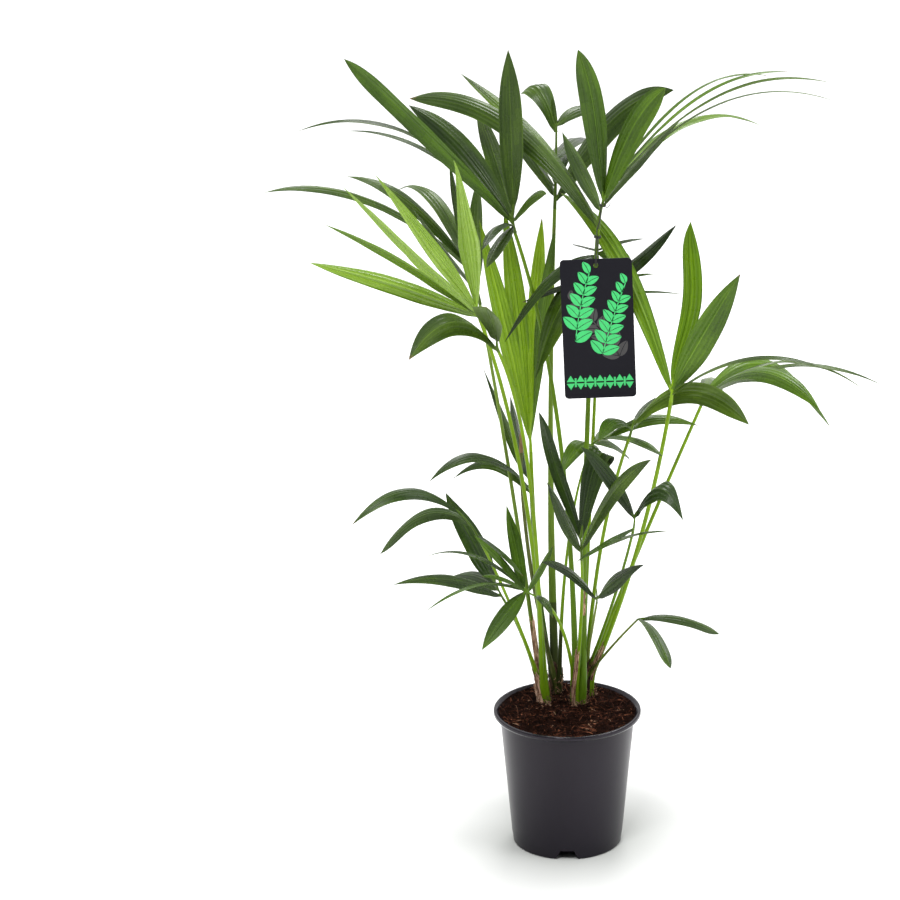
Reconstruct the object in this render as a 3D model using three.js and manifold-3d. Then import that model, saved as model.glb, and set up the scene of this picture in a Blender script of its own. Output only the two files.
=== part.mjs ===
// A kentia palm in its nursery pot, about a metre tall: several seedlings grown together in one pot.
// Millimetres, +Z up, +X to the right, +Y to the back. The origin is the centre of the pot's flat underside.
import * as THREE from 'three';
import { mergeVertices } from 'three/addons/utils/BufferGeometryUtils.js';
import Module from 'manifold-3d';

const wasm = await Module();
wasm.setup();

// Clearance between neighbouring solids.
const GAP = 0.3;
// Facets that change the surface by less than this are merged.
const FINEST_DETAIL = 0.05;

// Pot: a moulded 18 cm nursery pot. Every radius is to the outside of the wall.
const POT_HEIGHT = 172;
const POT_WALL = 1.6;
const POT_FOOT_RADIUS = 67;
const POT_NECK_RADIUS = 82;
const POT_LIP_RADIUS = 90;
const POT_LIP_DROP = 6.5;
const POT_CORNER_RADIUS = 4;
const FLOOR_DISC_RADIUS = 44;
const CHANNEL_OUTER_RADIUS = 57;
const CHANNEL_SLOPE = 1.5;
const LIP_FLARE = 2.5;
const CHANNEL_HEIGHT = 12;
const FLOOR_THICKNESS = 2;
const DRAIN_HOLES = 8;
const DRAIN_HOLE_RADIUS = 3.5;
const FOOT_NOTCHES = 4;
const FOOT_NOTCH_TOP = 16;
const FOOT_NOTCH_BOTTOM = 28;
const POT_SIDES = 36;

// Potting mix: filled to the rim, a little higher in the middle.
const MIX_EDGE_HEIGHT = 169;
const MIX_MIDDLE_HEIGHT = 170;
const STEM_SINK = 14;

// Tag: a card that hangs by a thin tie from the stalk of the right crown frond.
const TAG_WIDTH = 84;
const TAG_HEIGHT = 171;
const TAG_THICKNESS = 1;
const TAG_CORNER_RADIUS = 5;
const TAG_HOLE_RADIUS = 3.2;
const TAG_HOLE_DROP = 8;
const TAG_TILT_DEG = 2.2;
const TAG_HANG = 27;
const TIE_RADIUS = 0.8;
const TIE_BELOW_TOP = 10;
const TIE_STANDOFF = 26;
const TAG_SHIFT = -2;

// Sheaths: dry brown bases of old leaves, each a curved strip against its stem.
const SHEATH_THICKNESS = 1.2;
const SHEATH_STANDOFF = 0.8;

// Stalks and ribs are tapered tubes; leaflets are folded blades that narrow to a point.
const STALK_SIDES = 6;
const STALK_STEPS = 8;
const RIB_STEPS = 3;
const RIB_TAPER = 0.55;
const BLADE_STATIONS = [0, 0.15, 0.36, 0.6, 0.83];
const BLADE_ROOT_SHARE = 0.24;
const BLADE_WIDEST_AT = 0.42;
const BLADE_TIP_POWER = 1.5;
const BLADE_FOLD_SHARE = 0.14;
const BLADE_LEAST_THICKNESS = 1.5;
const BLADE_THICKNESS_SHARE = 0.0115;
const BLADE_EDGE_THICKNESS_SHARE = 0.4;
const BLADE_FACE = new THREE.Vector3(0, -0.75, 0.66);
const LEANS_DEG = [0, 4, -4, 8, -8, 12, -12, 17, -17, 22, -22, 28, -28, 35, -35];

const UP = new THREE.Vector3(0, 0, 1);
const BACK = new THREE.Vector3(0, 1, 0);

const DARK = 0x2c4327;
const GREEN = 0x47662f;
const LIME = 0x87a344;

// Stems: where each seedling's short stem leaves the mix, where it opens into stalks, and its radii.
const STEMS = {
  left: { foot: [-24, 25], top: [-33.5, 22, 208], radii: [7.6, 9.4], seat: 6 },
  back: { foot: [-15, 58], top: [-14.5, 56, 204], radii: [7.4, 9.6], seat: 6.3 },
  centre: { foot: [13, 22], top: [13.5, 18, 216], radii: [9, 11.2], seat: 7.4 },
  right: { foot: [27, 50], top: [28, 47, 204], radii: [7, 9], seat: 6 },
};

// Sheaths: the stem each one clings to, the middle and spread of its arc in degrees, its foot and length.
const SHEATHS = {
  sheath_left: { stem: 'left', facing: 195, spread: 120, from: 3, length: 31 },
  sheath_back: { stem: 'back', facing: 270, spread: 100, from: 3, length: 27 },
  sheath_centre: { stem: 'centre', facing: 235, spread: 80, from: 3, length: 38 },
  sheath_right: { stem: 'right', facing: 290, spread: 90, from: 3, length: 27 },
};

// Fronds. Each stalk grows from a seat on its stem (degrees round it) and bends by its waist to its top.
// Each rib is the stalk's last stretch. A leaflet's row says where it leaves the rib (0 at the foot, 1 at the
// end), where its tip lies from there (right, back, up), how far it bows up, its width and its twist.
const FRONDS = {
  crown_left: {
    stem: 'centre', seat: 120, girth: [3.6, 2.3],
    waist: [5, 35, 560], top: [-61, 10, 775], rib: [-2, -5, 30],
    colour: DARK,
    leaflets: [
      [0.45, -190, -100, 225, 8, 23, 0],
      [0.6, -125, 120, 105, 18, 26, 0],
      [0.5, -245, -70, 130, 55, 16, 60],
      [0.4, -195, 45, 100, 32, 16, 60],
      [0.7, -45, 165, 90, 0, 23, 0],
      [1, -5, -25, 200, 0, 28, 0],
      [0.5, 40, -55, 50, 10, 16, 10],
      [0.3, -30, -100, -20, 5, 15, 10],
      [0.3, -35, -130, 10, 14, 14, 20],
    ],
  },
  crown_middle: {
    stem: 'back', seat: 100, girth: [3.4, 2.2],
    waist: [-25, 115, 490], top: [-15, 150, 762], rib: [2, 0, 104],
    colour: DARK,
    leaflets: [
      [0.15, -45, 70, 50, 4, 19, 20],
      [0.25, -25, -60, 60, 0, 12, 50],
      [0.92, -40, 45, 35, 29, 30, 0],
      [1, 60, 70, -5, 14, 19, 20],
      [1, -5, 0, 35, 0, 7, 30],
      [0.3, 10, 205, -15, 17, 23, 10],
      [0.6, 40, 165, -25, 12, 21, 20],
      [0.1, 140, -85, 160, 32, 33, 0],
    ],
  },
  crown_right: {
    stem: 'centre', seat: 330, girth: [3.6, 2.3], waist: [20, -5, 570], top: [36, -29, 792], rib: [9, 3, 44],
    colour: DARK,
    leaflets: [
      [0.05, -225, 180, 105, 48, 26, 0],
      [0.15, -165, 240, 115, 16, 21, 20],
      [0.8, -30, -40, 190, 24, 28, 0],
      [0.5, -45, 105, 65, 0, 19, 20],
      [0.75, 70, -70, 155, 20, 30, 0],
      [1, 190, 105, 110, 46, 13, 60],
      [0.95, 210, 20, 140, 42, 13, 60],
      [0.9, 250, -70, 155, 50, 13, 60],
      [0.85, 250, -155, 160, 52, 13, 60],
      [1, 185, 195, 25, 44, 19, 35],
      [0.6, 85, -200, 160, 6, 14, 60],
    ],
  },
  crown_back: {
    stem: 'centre', seat: 50, girth: [2.8, 2], waist: [30, 60, 460], top: [37, 47, 674], rib: [-1, -5, 70],
    colour: DARK,
    leaflets: [
      [0.9, -110, -55, -90, 29, 16, 40],
      [0.5, -90, -20, -25, 5, 14, 50],
      [1, -30, 55, -10, 0, 12, 60],
      [0.95, 40, -25, -5, 5, 21, 0],
      [1, 55, -5, 15, 4, 14, 60],
      [0.3, 90, -70, 100, -4, 22, 15],
      [0.25, 65, -45, 35, 7, 12, 60],
      [0.15, 95, -100, 35, 5, 14, 60],
      [0.2, -75, -65, -85, 50, 26, 10],
      [0.5, -10, 215, -120, 26, 21, 10],
      [0.7, 15, 205, -110, 22, 19, 30],
    ],
  },
  left_upper: {
    stem: 'left', seat: 110, girth: [2.8, 2.1],
    waist: [-65, 75, 440], top: [-104, 72, 666], rib: [-9, -5, 43],
    colour: DARK,
    leaflets: [
      [1, -235, -155, 145, 42, 19, 35],
      [0.95, -150, 35, 110, 29, 21, 30],
      [0.9, -95, 150, 60, 43, 21, 25],
      [0.4, -70, -185, 160, 0, 14, 60],
      [0.6, -30, -10, 155, 0, 16, 40],
      [0.5, 0, 105, 105, 0, 19, 20],
      [0.5, -40, 240, -20, 26, 19, 10],
    ],
  },
  left_lime: {
    stem: 'left', seat: 350, girth: [2.9, 2.2],
    waist: [-45, -5, 510], top: [-101, -83, 698], rib: [-4, -2, 18],
    colour: LIME,
    leaflets: [
      [0.8, -115, -40, 175, 4, 20, 0],
      [0.5, -145, -175, 205, 1, 16, 20],
      [0.7, -100, 105, 55, -2, 16, 20],
      [0.4, -170, -115, 145, 8, 16, 30],
      [0.3, -195, -15, 70, 4, 23, 0],
      [0.9, -25, -25, 185, 30, 21, 0],
    ],
  },
  middle_lime: {
    stem: 'left', seat: 50, girth: [2.9, 2.2], waist: [-40, 20, 385], top: [-44, 75, 477], rib: [-1, 1, 28],
    colour: LIME,
    leaflets: [
      [0.5, -60, -15, 285, 0, 23, 0],
      [0.9, -30, 10, 280, 0, 25, 0],
      [1, 15, 15, 265, 4, 19, 0],
      [0.6, 30, -5, 270, 10, 16, 20],
    ],
  },
  left_bent: {
    stem: 'left', seat: 290, girth: [2.6, 2],
    waist: [-35, -70, 555], top: [-79, -122, 672], rib: [-2, -1, 17],
    colour: GREEN,
    leaflets: [
      [0.15, -100, -95, 20, 40, 30, 0],
      [0.95, -10, -110, 75, 6, 35, 0],
    ],
  },
  left_dark: {
    stem: 'back', seat: 180, girth: [2.2, 1.6], waist: [-40, 90, 320], top: [-44, 80, 413], rib: [-4, 0, 32],
    colour: DARK,
    leaflets: [
      [0.9, -55, 50, 125, 0, 14, 20],
      [1, -20, -65, 125, 0, 14, 40],
      [0.5, -135, -110, 55, 38, 19, 20],
      [0.3, -95, 35, 5, 28, 14, 5],
    ],
  },
  left_low: {
    stem: 'left', seat: 230, girth: [2.3, 1.6],
    waist: [-70, -55, 345], top: [-105, -98, 434], rib: [-21, -2, 31],
    colour: DARK,
    leaflets: [
      [1, -125, -55, 5, 34, 20, 20],
      [0.5, -110, 60, -60, 31, 18, 5],
      [0.1, 55, -70, -25, 6, 12, 55],
    ],
  },
  left_low_back: {
    stem: 'left', seat: 170, girth: [2.2, 1.6],
    waist: [-55, 5, 275], top: [-76, -36, 329], rib: [-12, 2, 25],
    colour: DARK,
    leaflets: [
      [0.3, -125, -130, 65, 14, 21, 15],
      [0.6, -65, 85, -20, 11, 19, 10],
      [0.9, -60, 55, 95, -4, 26, 0],
    ],
  },
  front_low: {
    stem: 'centre', seat: 190, girth: [2.2, 1.6],
    waist: [-5, -55, 315], top: [-26, -145, 370], rib: [-25, -2, 16],
    colour: GREEN,
    leaflets: [
      [0.9, -120, 75, 15, 24, 14, 60],
      [0.9, -60, 15, 70, 5, 13, 35],
      [0.9, 30, 60, 35, 0, 12, 30],
      [0.95, -50, -55, 40, 7, 12, 30],
      [1, -110, -115, 20, 20, 14, 60],
      [0.95, -50, -85, -40, 4, 21, 0],
      [0.6, 20, -55, -5, 10, 12, 20],
      [1, -20, 30, 95, 0, 16, 0],
    ],
  },
  centre_dark: {
    stem: 'centre', seat: 260, girth: [2.4, 1.7],
    waist: [20, -30, 330], top: [17, -98, 405], rib: [-1, -2, 34],
    colour: DARK,
    leaflets: [
      [0.8, -50, 75, 135, 10, 16, 0],
      [0.4, -40, -85, 120, 0, 16, 0],
      [0.9, 35, 15, 85, 50, 32, 0],
      [0.5, 80, -100, 150, 17, 18, 0],
      [0.1, 100, -145, 90, 10, 15, 50],
    ],
  },
  right_small: {
    stem: 'back', seat: 330, girth: [2, 1.4], waist: [-5, 35, 405], top: [27, 26, 499], rib: [20, -2, 15],
    colour: GREEN,
    leaflets: [
      [0.2, -20, -60, -20, 18, 20, 0],
      [0.4, 45, 75, -50, 10, 15, 10],
      [1, 110, 15, 10, 16, 18, 20],
      [0.9, 75, -100, 15, 11, 16, 30],
      [0.4, 20, 190, -70, 17, 16, 10],
    ],
  },
  right_middle: {
    stem: 'right', seat: 130, girth: [2.6, 2], waist: [35, 25, 395], top: [73, -52, 541], rib: [5, -2, 21],
    colour: GREEN,
    leaflets: [
      [0.9, 120, -70, 10, 40, 27, 0],
      [0.6, -40, -70, 10, 18, 19, 10],
      [0.5, 30, 90, 10, 5, 12, 20],
    ],
  },
  right_long: {
    stem: 'right', seat: 60, girth: [3, 2.3], waist: [75, 100, 315], top: [162, 103, 527], rib: [5, 0, 17],
    colour: DARK,
    leaflets: [
      [0.5, 195, 70, -10, 42, 14, 65],
      [0.7, 210, -60, 35, 34, 15, 60],
      [0.6, 130, -190, 50, 40, 23, 0],
      [0.9, 160, 115, -85, 58, 23, 10],
      [0.4, 60, -115, 65, 10, 12, 20],
      [0.5, 30, 210, -70, 26, 19, 10],
    ],
  },
  right_lime: {
    stem: 'right', seat: 0, girth: [3, 2.4], waist: [95, -5, 385], top: [121, -83, 597], rib: [2, 0, 21],
    colour: LIME,
    leaflets: [
      [0.6, -105, 195, 190, 43, 20, 0],
      [1, 20, 30, 190, 2, 23, 0],
      [0.8, 75, -60, 160, 2, 33, 0],
      [0.5, 170, -100, 65, 29, 16, 55],
    ],
  },
  right_low: {
    stem: 'right', seat: 245, girth: [2.2, 1.6],
    waist: [60, -30, 330], top: [77, -130, 453], rib: [2, -2, 20],
    colour: GREEN,
    leaflets: [
      [0.9, -55, -35, 95, 10, 18, 0],
      [1, 55, -55, 15, 36, 34, 5],
      [0.3, -60, -100, -5, 4, 14, 40],
    ],
  },
  small_two_lobed: {
    stem: 'right', seat: 190, girth: [1.7, 1.3],
    waist: [30, -15, 280], top: [35, -98, 350], rib: [0, -2, 15],
    colour: DARK,
    leaflets: [
      [0.5, -65, -85, 80, 11, 15, 5],
      [0.6, 55, -70, 70, 6, 22, 0],
    ],
  },
  right_two_lobed: {
    stem: 'right', seat: 300, girth: [1.8, 1.3], waist: [60, -5, 265], top: [84, -36, 303], rib: [6, -2, 3],
    colour: DARK,
    leaflets: [
      [0.7, 95, 0, -20, 10, 18, 30],
      [0.5, 35, -130, -10, 13, 14, 20],
    ],
  },
};

// A frond that was cut off long ago: only its dry stalk is left.
const CUT_STALK = { stem: 'back', seat: 235, girth: [2.8, 2], waist: [-59, 25, 382], top: [-55, 30, 519] };

// ---- Solids and geometries ----

function solidOf(geometry) {
  const bare = geometry.clone();
  bare.deleteAttribute('normal');
  bare.deleteAttribute('uv');
  const merged = mergeVertices(bare, 1e-4);
  return new wasm.Manifold(new wasm.Mesh({
    numProp: 3,
    vertProperties: new Float32Array(merged.attributes.position.array),
    triVerts: new Uint32Array(merged.index.array),
  }));
}

// Joining leaflets can seal a small hollow or cut off a scrap: the largest body is kept, its hollows filled.
function largestBody(solid) {
  return solid.decompose().reduce((best, body) => (body.volume() > best.volume() ? body : best));
}

function geometryOf(solid) {
  const mesh = largestBody(solid.simplify(FINEST_DETAIL)).getMesh();
  const geometry = new THREE.BufferGeometry();
  geometry.setAttribute('position', new THREE.BufferAttribute(mesh.vertProperties, 3));
  geometry.setIndex(new THREE.BufferAttribute(mesh.triVerts, 1));
  const faceted = geometry.toNonIndexed();
  faceted.computeVertexNormals();
  return faceted;
}

// A closed skin over rings of points, each ring anticlockwise about the way the rings run. A last ring of one
// point is a tip. End rings are closed by fans from their second point.
function skin(rings) {
  const points = rings.flat();
  const starts = [];
  rings.reduce((sum, ring) => (starts.push(sum), sum + ring.length), 0);
  const faces = [];
  for (let k = 0; k + 1 < rings.length; k++) {
    const count = rings[k].length;
    for (let i = 0; i < count; i++) {
      const a = starts[k] + i;
      const b = starts[k] + (i + 1) % count;
      if (rings[k + 1].length === 1) {
        faces.push(a, b, starts[k + 1]);
      } else {
        const c = starts[k + 1] + (i + 1) % count;
        const d = starts[k + 1] + i;
        faces.push(a, b, c, a, c, d);
      }
    }
  }
  const fan = (ring, start, reversed) => {
    for (let i = 1; i + 1 < ring.length; i++) {
      const b = start + (1 + i) % ring.length;
      const c = start + (2 + i) % ring.length;
      if (reversed) faces.push(start + 1, c, b);
      else faces.push(start + 1, b, c);
    }
  };
  const last = rings.length - 1;
  fan(rings[0], starts[0], true);
  fan(rings[last], starts[last], false);
  const geometry = new THREE.BufferGeometry().setFromPoints(points);
  geometry.setIndex(faces);
  return geometry;
}

// A round tube along a curve, its radius running evenly from one end to the other.
function taperedTube(curve, steps, radii, spare = 0) {
  const rings = [];
  for (let k = 0; k <= steps; k++) {
    const t = k / steps;
    const centre = curve.getPoint(t);
    const along = curve.getTangent(t);
    const across = BACK.clone().addScaledVector(along, -BACK.dot(along)).normalize();
    const other = along.clone().cross(across);
    const radius = THREE.MathUtils.lerp(radii[0], radii[1], t) + spare;
    const ring = [];
    for (let i = 0; i < STALK_SIDES; i++) {
      const angle = 2 * Math.PI * i / STALK_SIDES;
      ring.push(centre.clone()
        .addScaledVector(across, radius * Math.cos(angle))
        .addScaledVector(other, radius * Math.sin(angle)));
    }
    rings.push(ring);
  }
  return skin(rings);
}

// A leaflet's share of its full width, a fraction t of the way from its root to its tip.
function bladeShare(t) {
  if (t < BLADE_WIDEST_AT) {
    const rise = Math.sin(Math.PI / 2 * t / BLADE_WIDEST_AT);
    return BLADE_ROOT_SHARE + (1 - BLADE_ROOT_SHARE) * rise;
  }
  const fall = (t - BLADE_WIDEST_AT) / (1 - BLADE_WIDEST_AT);
  return Math.cos(Math.PI / 2 * fall ** BLADE_TIP_POWER);
}

// One leaflet: a blade folded along its midrib, on an arc that bows upward from its root to its tip. A twist
// turns a leaflet on the right the other way round than one on the left.
function blade(root, reach, bow, width, twistDeg, spare = 0) {
  const tip = root.clone().add(reach);
  const control = root.clone().lerp(tip, 0.5).addScaledVector(UP, 2 * bow);
  const arc = new THREE.QuadraticBezierCurve3(root, control, tip);
  const chord = reach.clone().normalize();
  const side = chord.clone().cross(BLADE_FACE).normalize()
    .applyAxisAngle(chord, THREE.MathUtils.degToRad(reach.x > 0 ? -twistDeg : twistDeg));
  const thickest = Math.max(BLADE_LEAST_THICKNESS, BLADE_THICKNESS_SHARE * arc.getLength());
  const rings = BLADE_STATIONS.map((t) => {
    const centre = arc.getPoint(t);
    const along = arc.getTangent(t);
    const across = side.clone().addScaledVector(along, -side.dot(along)).normalize();
    const face = across.clone().cross(along);
    const share = bladeShare(t);
    const half = width * share / 2 + spare;
    const depth = thickest * THREE.MathUtils.lerp(BLADE_EDGE_THICKNESS_SHARE, 1, share) / 2 + spare;
    const fold = BLADE_FOLD_SHARE * width * share;
    return [
      centre.clone().addScaledVector(across, -half),
      centre.clone().addScaledVector(face, depth - fold),
      centre.clone().addScaledVector(across, half),
      centre.clone().addScaledVector(face, -depth - fold),
    ];
  });
  rings.push([tip.clone().addScaledVector(arc.getTangent(1), spare)]);
  return skin(rings);
}

// ---- The standing things that leaflets keep clear of ----

const standing = [];

function stand(solid) {
  standing.push({ solid, box: solid.boundingBox() });
  return solid;
}

function apart(a, b) {
  return [0, 1, 2].some((i) => a.max[i] < b.min[i] || b.max[i] < a.min[i]);
}

function isClear(solid, own) {
  const box = solid.boundingBox();
  return standing.every((thing) => thing.solid === own || apart(box, thing.box)
    || solid.intersect(thing.solid).isEmpty());
}

// ---- Group ----

const palm = new THREE.Group();

function add(name, geometry, color, roughness = 0.6) {
  const mesh = new THREE.Mesh(geometry, new THREE.MeshStandardMaterial({ color, roughness, metalness: 0 }));
  mesh.name = name;
  palm.add(mesh);
  return mesh;
}

// LatheGeometry turns about Y, so its result is stood up along Z.
function lathe(profile) {
  const points = profile.map(([r, z]) => new THREE.Vector2(r, z));
  return new THREE.LatheGeometry(points, POT_SIDES).rotateX(Math.PI / 2);
}

// ---- Pot ----

const NECK_HEIGHT = POT_HEIGHT - POT_LIP_DROP;
const FLOOR_TOP = CHANNEL_HEIGHT + FLOOR_THICKNESS;

function potWallRadius(z) {
  return THREE.MathUtils.mapLinear(z, POT_CORNER_RADIUS, NECK_HEIGHT, POT_FOOT_RADIUS, POT_NECK_RADIUS);
}

function potGeometry() {
  const cornerCentre = POT_FOOT_RADIUS - POT_CORNER_RADIUS;
  const lipRadius = POT_LIP_DROP / 2;
  const profile = [
    [0, 0],
    [FLOOR_DISC_RADIUS, 0],
    [FLOOR_DISC_RADIUS + CHANNEL_SLOPE, CHANNEL_HEIGHT],
    [CHANNEL_OUTER_RADIUS, CHANNEL_HEIGHT],
    [CHANNEL_OUTER_RADIUS + CHANNEL_SLOPE, 0],
  ];
  for (const angle of [-90, -60, -30, 0]) {
    const turn = THREE.MathUtils.degToRad(angle);
    profile.push([
      cornerCentre + POT_CORNER_RADIUS * Math.cos(turn),
      POT_CORNER_RADIUS + POT_CORNER_RADIUS * Math.sin(turn),
    ]);
  }
  profile.push([POT_NECK_RADIUS, NECK_HEIGHT]);
  for (const angle of [-90, -45, 0, 45, 90]) {
    const turn = THREE.MathUtils.degToRad(angle);
    profile.push([
      POT_LIP_RADIUS - lipRadius + lipRadius * Math.cos(turn),
      POT_HEIGHT - lipRadius + lipRadius * Math.sin(turn),
    ]);
  }
  profile.push([POT_NECK_RADIUS + LIP_FLARE, POT_HEIGHT]);
  profile.push([POT_NECK_RADIUS - POT_WALL, NECK_HEIGHT]);
  profile.push([potWallRadius(FLOOR_TOP) - POT_WALL, FLOOR_TOP]);
  profile.push([0, FLOOR_TOP]);

  let pot = solidOf(lathe(profile));
  const notchReach = POT_FOOT_RADIUS - FLOOR_DISC_RADIUS;
  const notchShape = new THREE.Shape([
    new THREE.Vector2(-FOOT_NOTCH_BOTTOM / 2, -1),
    new THREE.Vector2(FOOT_NOTCH_BOTTOM / 2, -1),
    new THREE.Vector2(FOOT_NOTCH_TOP / 2, CHANNEL_HEIGHT),
    new THREE.Vector2(-FOOT_NOTCH_TOP / 2, CHANNEL_HEIGHT),
  ]);
  for (let i = 0; i < FOOT_NOTCHES; i++) {
    const notch = new THREE.ExtrudeGeometry(notchShape, { depth: notchReach, bevelEnabled: false })
      .rotateX(Math.PI / 2)
      .translate(0, 1 - CHANNEL_OUTER_RADIUS, 0)
      .rotateZ(2 * Math.PI * i / FOOT_NOTCHES);
    pot = pot.subtract(solidOf(notch));
  }
  const drainRadius = (FLOOR_DISC_RADIUS + CHANNEL_OUTER_RADIUS + CHANNEL_SLOPE) / 2;
  for (let i = 0; i < DRAIN_HOLES; i++) {
    const drill = new THREE.CylinderGeometry(DRAIN_HOLE_RADIUS, DRAIN_HOLE_RADIUS, 3 * FLOOR_TOP, 10)
      .rotateX(Math.PI / 2)
      .translate(0, drainRadius, 0)
      .rotateZ(2 * Math.PI * (i + 0.5) / DRAIN_HOLES);
    pot = pot.subtract(solidOf(drill));
  }
  return geometryOf(stand(pot));
}

add('pot', potGeometry(), 0x1b1c1d, 0.45);

// ---- Stems, and the potting mix cut to fit round them ----

function mixHeight(x, y) {
  const share = Math.min(1, Math.hypot(x, y) / POT_NECK_RADIUS);
  return THREE.MathUtils.lerp(MIX_MIDDLE_HEIGHT, MIX_EDGE_HEIGHT, share ** 2);
}

function stemLine(stem) {
  const foot = new THREE.Vector3(...stem.foot, mixHeight(...stem.foot) - STEM_SINK);
  return new THREE.LineCurve3(foot, new THREE.Vector3(...stem.top));
}

function stemSlant(stem) {
  return Math.sin(stemLine(stem).getTangent(0).angleTo(UP));
}

const stemSolids = [];
const stemSleeves = [];
for (const [name, stem] of Object.entries(STEMS)) {
  const line = stemLine(stem);
  stemSolids.push(solidOf(taperedTube(line, 1, stem.radii)));
  const sunk = new THREE.LineCurve3(line.v1.clone().addScaledVector(UP, -GAP), line.v2);
  stemSleeves.push(solidOf(taperedTube(sunk, 1, stem.radii, GAP)));
  add('stem_' + name, geometryOf(stand(stemSolids.at(-1))), 0x54552f);
}

function mixGeometry() {
  const wallInside = (z) => potWallRadius(z) - POT_WALL - GAP;
  const bottom = FLOOR_TOP + GAP;
  const profile = [[0, bottom], [wallInside(bottom), bottom]];
  const edge = wallInside(MIX_EDGE_HEIGHT);
  for (const share of [1, 0.8, 0.55, 0.28]) profile.push([edge * share, mixHeight(edge * share, 0)]);
  profile.push([0, MIX_MIDDLE_HEIGHT]);
  let mix = solidOf(lathe(profile));
  for (const sleeve of stemSleeves) mix = mix.subtract(sleeve);
  return geometryOf(stand(mix));
}

add('potting_mix', mixGeometry(), 0x4a3325, 1);

// ---- Sheaths ----

function sheathGeometry(stem, sheath) {
  const inner = Math.max(...stem.radii) + SHEATH_STANDOFF;
  const outer = inner + SHEATH_THICKNESS;
  const from = THREE.MathUtils.degToRad(sheath.facing - sheath.spread / 2);
  const to = THREE.MathUtils.degToRad(sheath.facing + sheath.spread / 2);
  const band = new THREE.Shape();
  band.absarc(0, 0, outer, from, to, false);
  band.absarc(0, 0, inner, to, from, true);
  const line = stemLine(stem);
  const lean = new THREE.Quaternion().setFromUnitVectors(UP, line.getTangent(0));
  const foot = line.v1.clone().addScaledVector(line.getTangent(0), STEM_SINK + sheath.from);
  return new THREE.ExtrudeGeometry(band, { depth: sheath.length, bevelEnabled: false, curveSegments: 5 })
    .applyQuaternion(lean)
    .translate(...foot.toArray());
}

for (const [name, sheath] of Object.entries(SHEATHS)) {
  add(name, geometryOf(stand(solidOf(sheathGeometry(STEMS[sheath.stem], sheath)))), 0x8a6a45, 0.9);
}

// ---- Stalks and ribs ----

// A stalk stands just clear of its stem's top, lifted by as much as its slanted foot dips.
function stalkCurve(frond) {
  const stem = STEMS[frond.stem];
  const seat = THREE.MathUtils.degToRad(frond.seat);
  const waist = new THREE.Vector3(...frond.waist);
  const foot = new THREE.Vector3(...stem.top)
    .add(new THREE.Vector3(stem.seat * Math.cos(seat), stem.seat * Math.sin(seat), 0));
  const slant = Math.sin(waist.clone().sub(foot).angleTo(UP));
  foot.z += 2 * GAP + frond.girth[0] * slant + stem.radii[1] * stemSlant(stem);
  return new THREE.QuadraticBezierCurve3(foot, waist, new THREE.Vector3(...frond.top));
}

function ribCurve(frond) {
  const rib = new THREE.Vector3(...frond.rib);
  const stalkEnd = stalkCurve(frond).getTangent(1);
  const foot = new THREE.Vector3(...frond.top).addScaledVector(stalkEnd, GAP);
  const end = new THREE.Vector3(...frond.top).add(rib);
  const control = foot.clone().addScaledVector(stalkEnd, rib.length() / 2);
  return new THREE.QuadraticBezierCurve3(foot, control, end);
}

const ribs = {};
for (const [name, frond] of Object.entries(FRONDS)) {
  const stalk = solidOf(taperedTube(stalkCurve(frond), STALK_STEPS, frond.girth));
  add('stalk_' + name, geometryOf(stand(stalk)), frond.colour === LIME ? 0x8b9a45 : 0x4b5a2c);
  const ribRadii = [frond.girth[1], frond.girth[1] * RIB_TAPER];
  ribs[name] = stand(solidOf(taperedTube(ribCurve(frond), RIB_STEPS, ribRadii)));
}
const cutStalk = solidOf(taperedTube(stalkCurve(CUT_STALK), STALK_STEPS, CUT_STALK.girth));
add('stalk_cut_short', geometryOf(stand(cutStalk)), 0x4d3f38);

// ---- Tag and its tie ----

const tiedStalk = stalkCurve(FRONDS.crown_right);
const tiePoint = tiedStalk.getPointAt(1 - TIE_BELOW_TOP / tiedStalk.getLength());
const tagHole = tiePoint.clone().add(new THREE.Vector3(TAG_SHIFT, -TIE_STANDOFF, -TAG_HANG));

function tagGeometry() {
  const half = TAG_WIDTH / 2 - TAG_CORNER_RADIUS;
  const top = TAG_HOLE_DROP - TAG_CORNER_RADIUS;
  const bottom = TAG_HOLE_DROP - TAG_HEIGHT + TAG_CORNER_RADIUS;
  const card = new THREE.Shape();
  card.absarc(half, top, TAG_CORNER_RADIUS, 0, Math.PI / 2, false);
  card.absarc(-half, top, TAG_CORNER_RADIUS, Math.PI / 2, Math.PI, false);
  card.absarc(-half, bottom, TAG_CORNER_RADIUS, Math.PI, 1.5 * Math.PI, false);
  card.absarc(half, bottom, TAG_CORNER_RADIUS, 1.5 * Math.PI, 2 * Math.PI, false);
  card.closePath();
  card.holes.push(new THREE.Path().absarc(0, 0, TAG_HOLE_RADIUS, 0, 2 * Math.PI, true));
  return new THREE.ExtrudeGeometry(card, { depth: TAG_THICKNESS, bevelEnabled: false, curveSegments: 4 })
    .translate(0, 0, -TAG_THICKNESS / 2)
    .rotateX(Math.PI / 2)
    .rotateY(-THREE.MathUtils.degToRad(TAG_TILT_DEG))
    .translate(...tagHole.toArray());
}

add('tag', geometryOf(stand(solidOf(tagGeometry()))), 0x16181a, 0.5);

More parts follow.
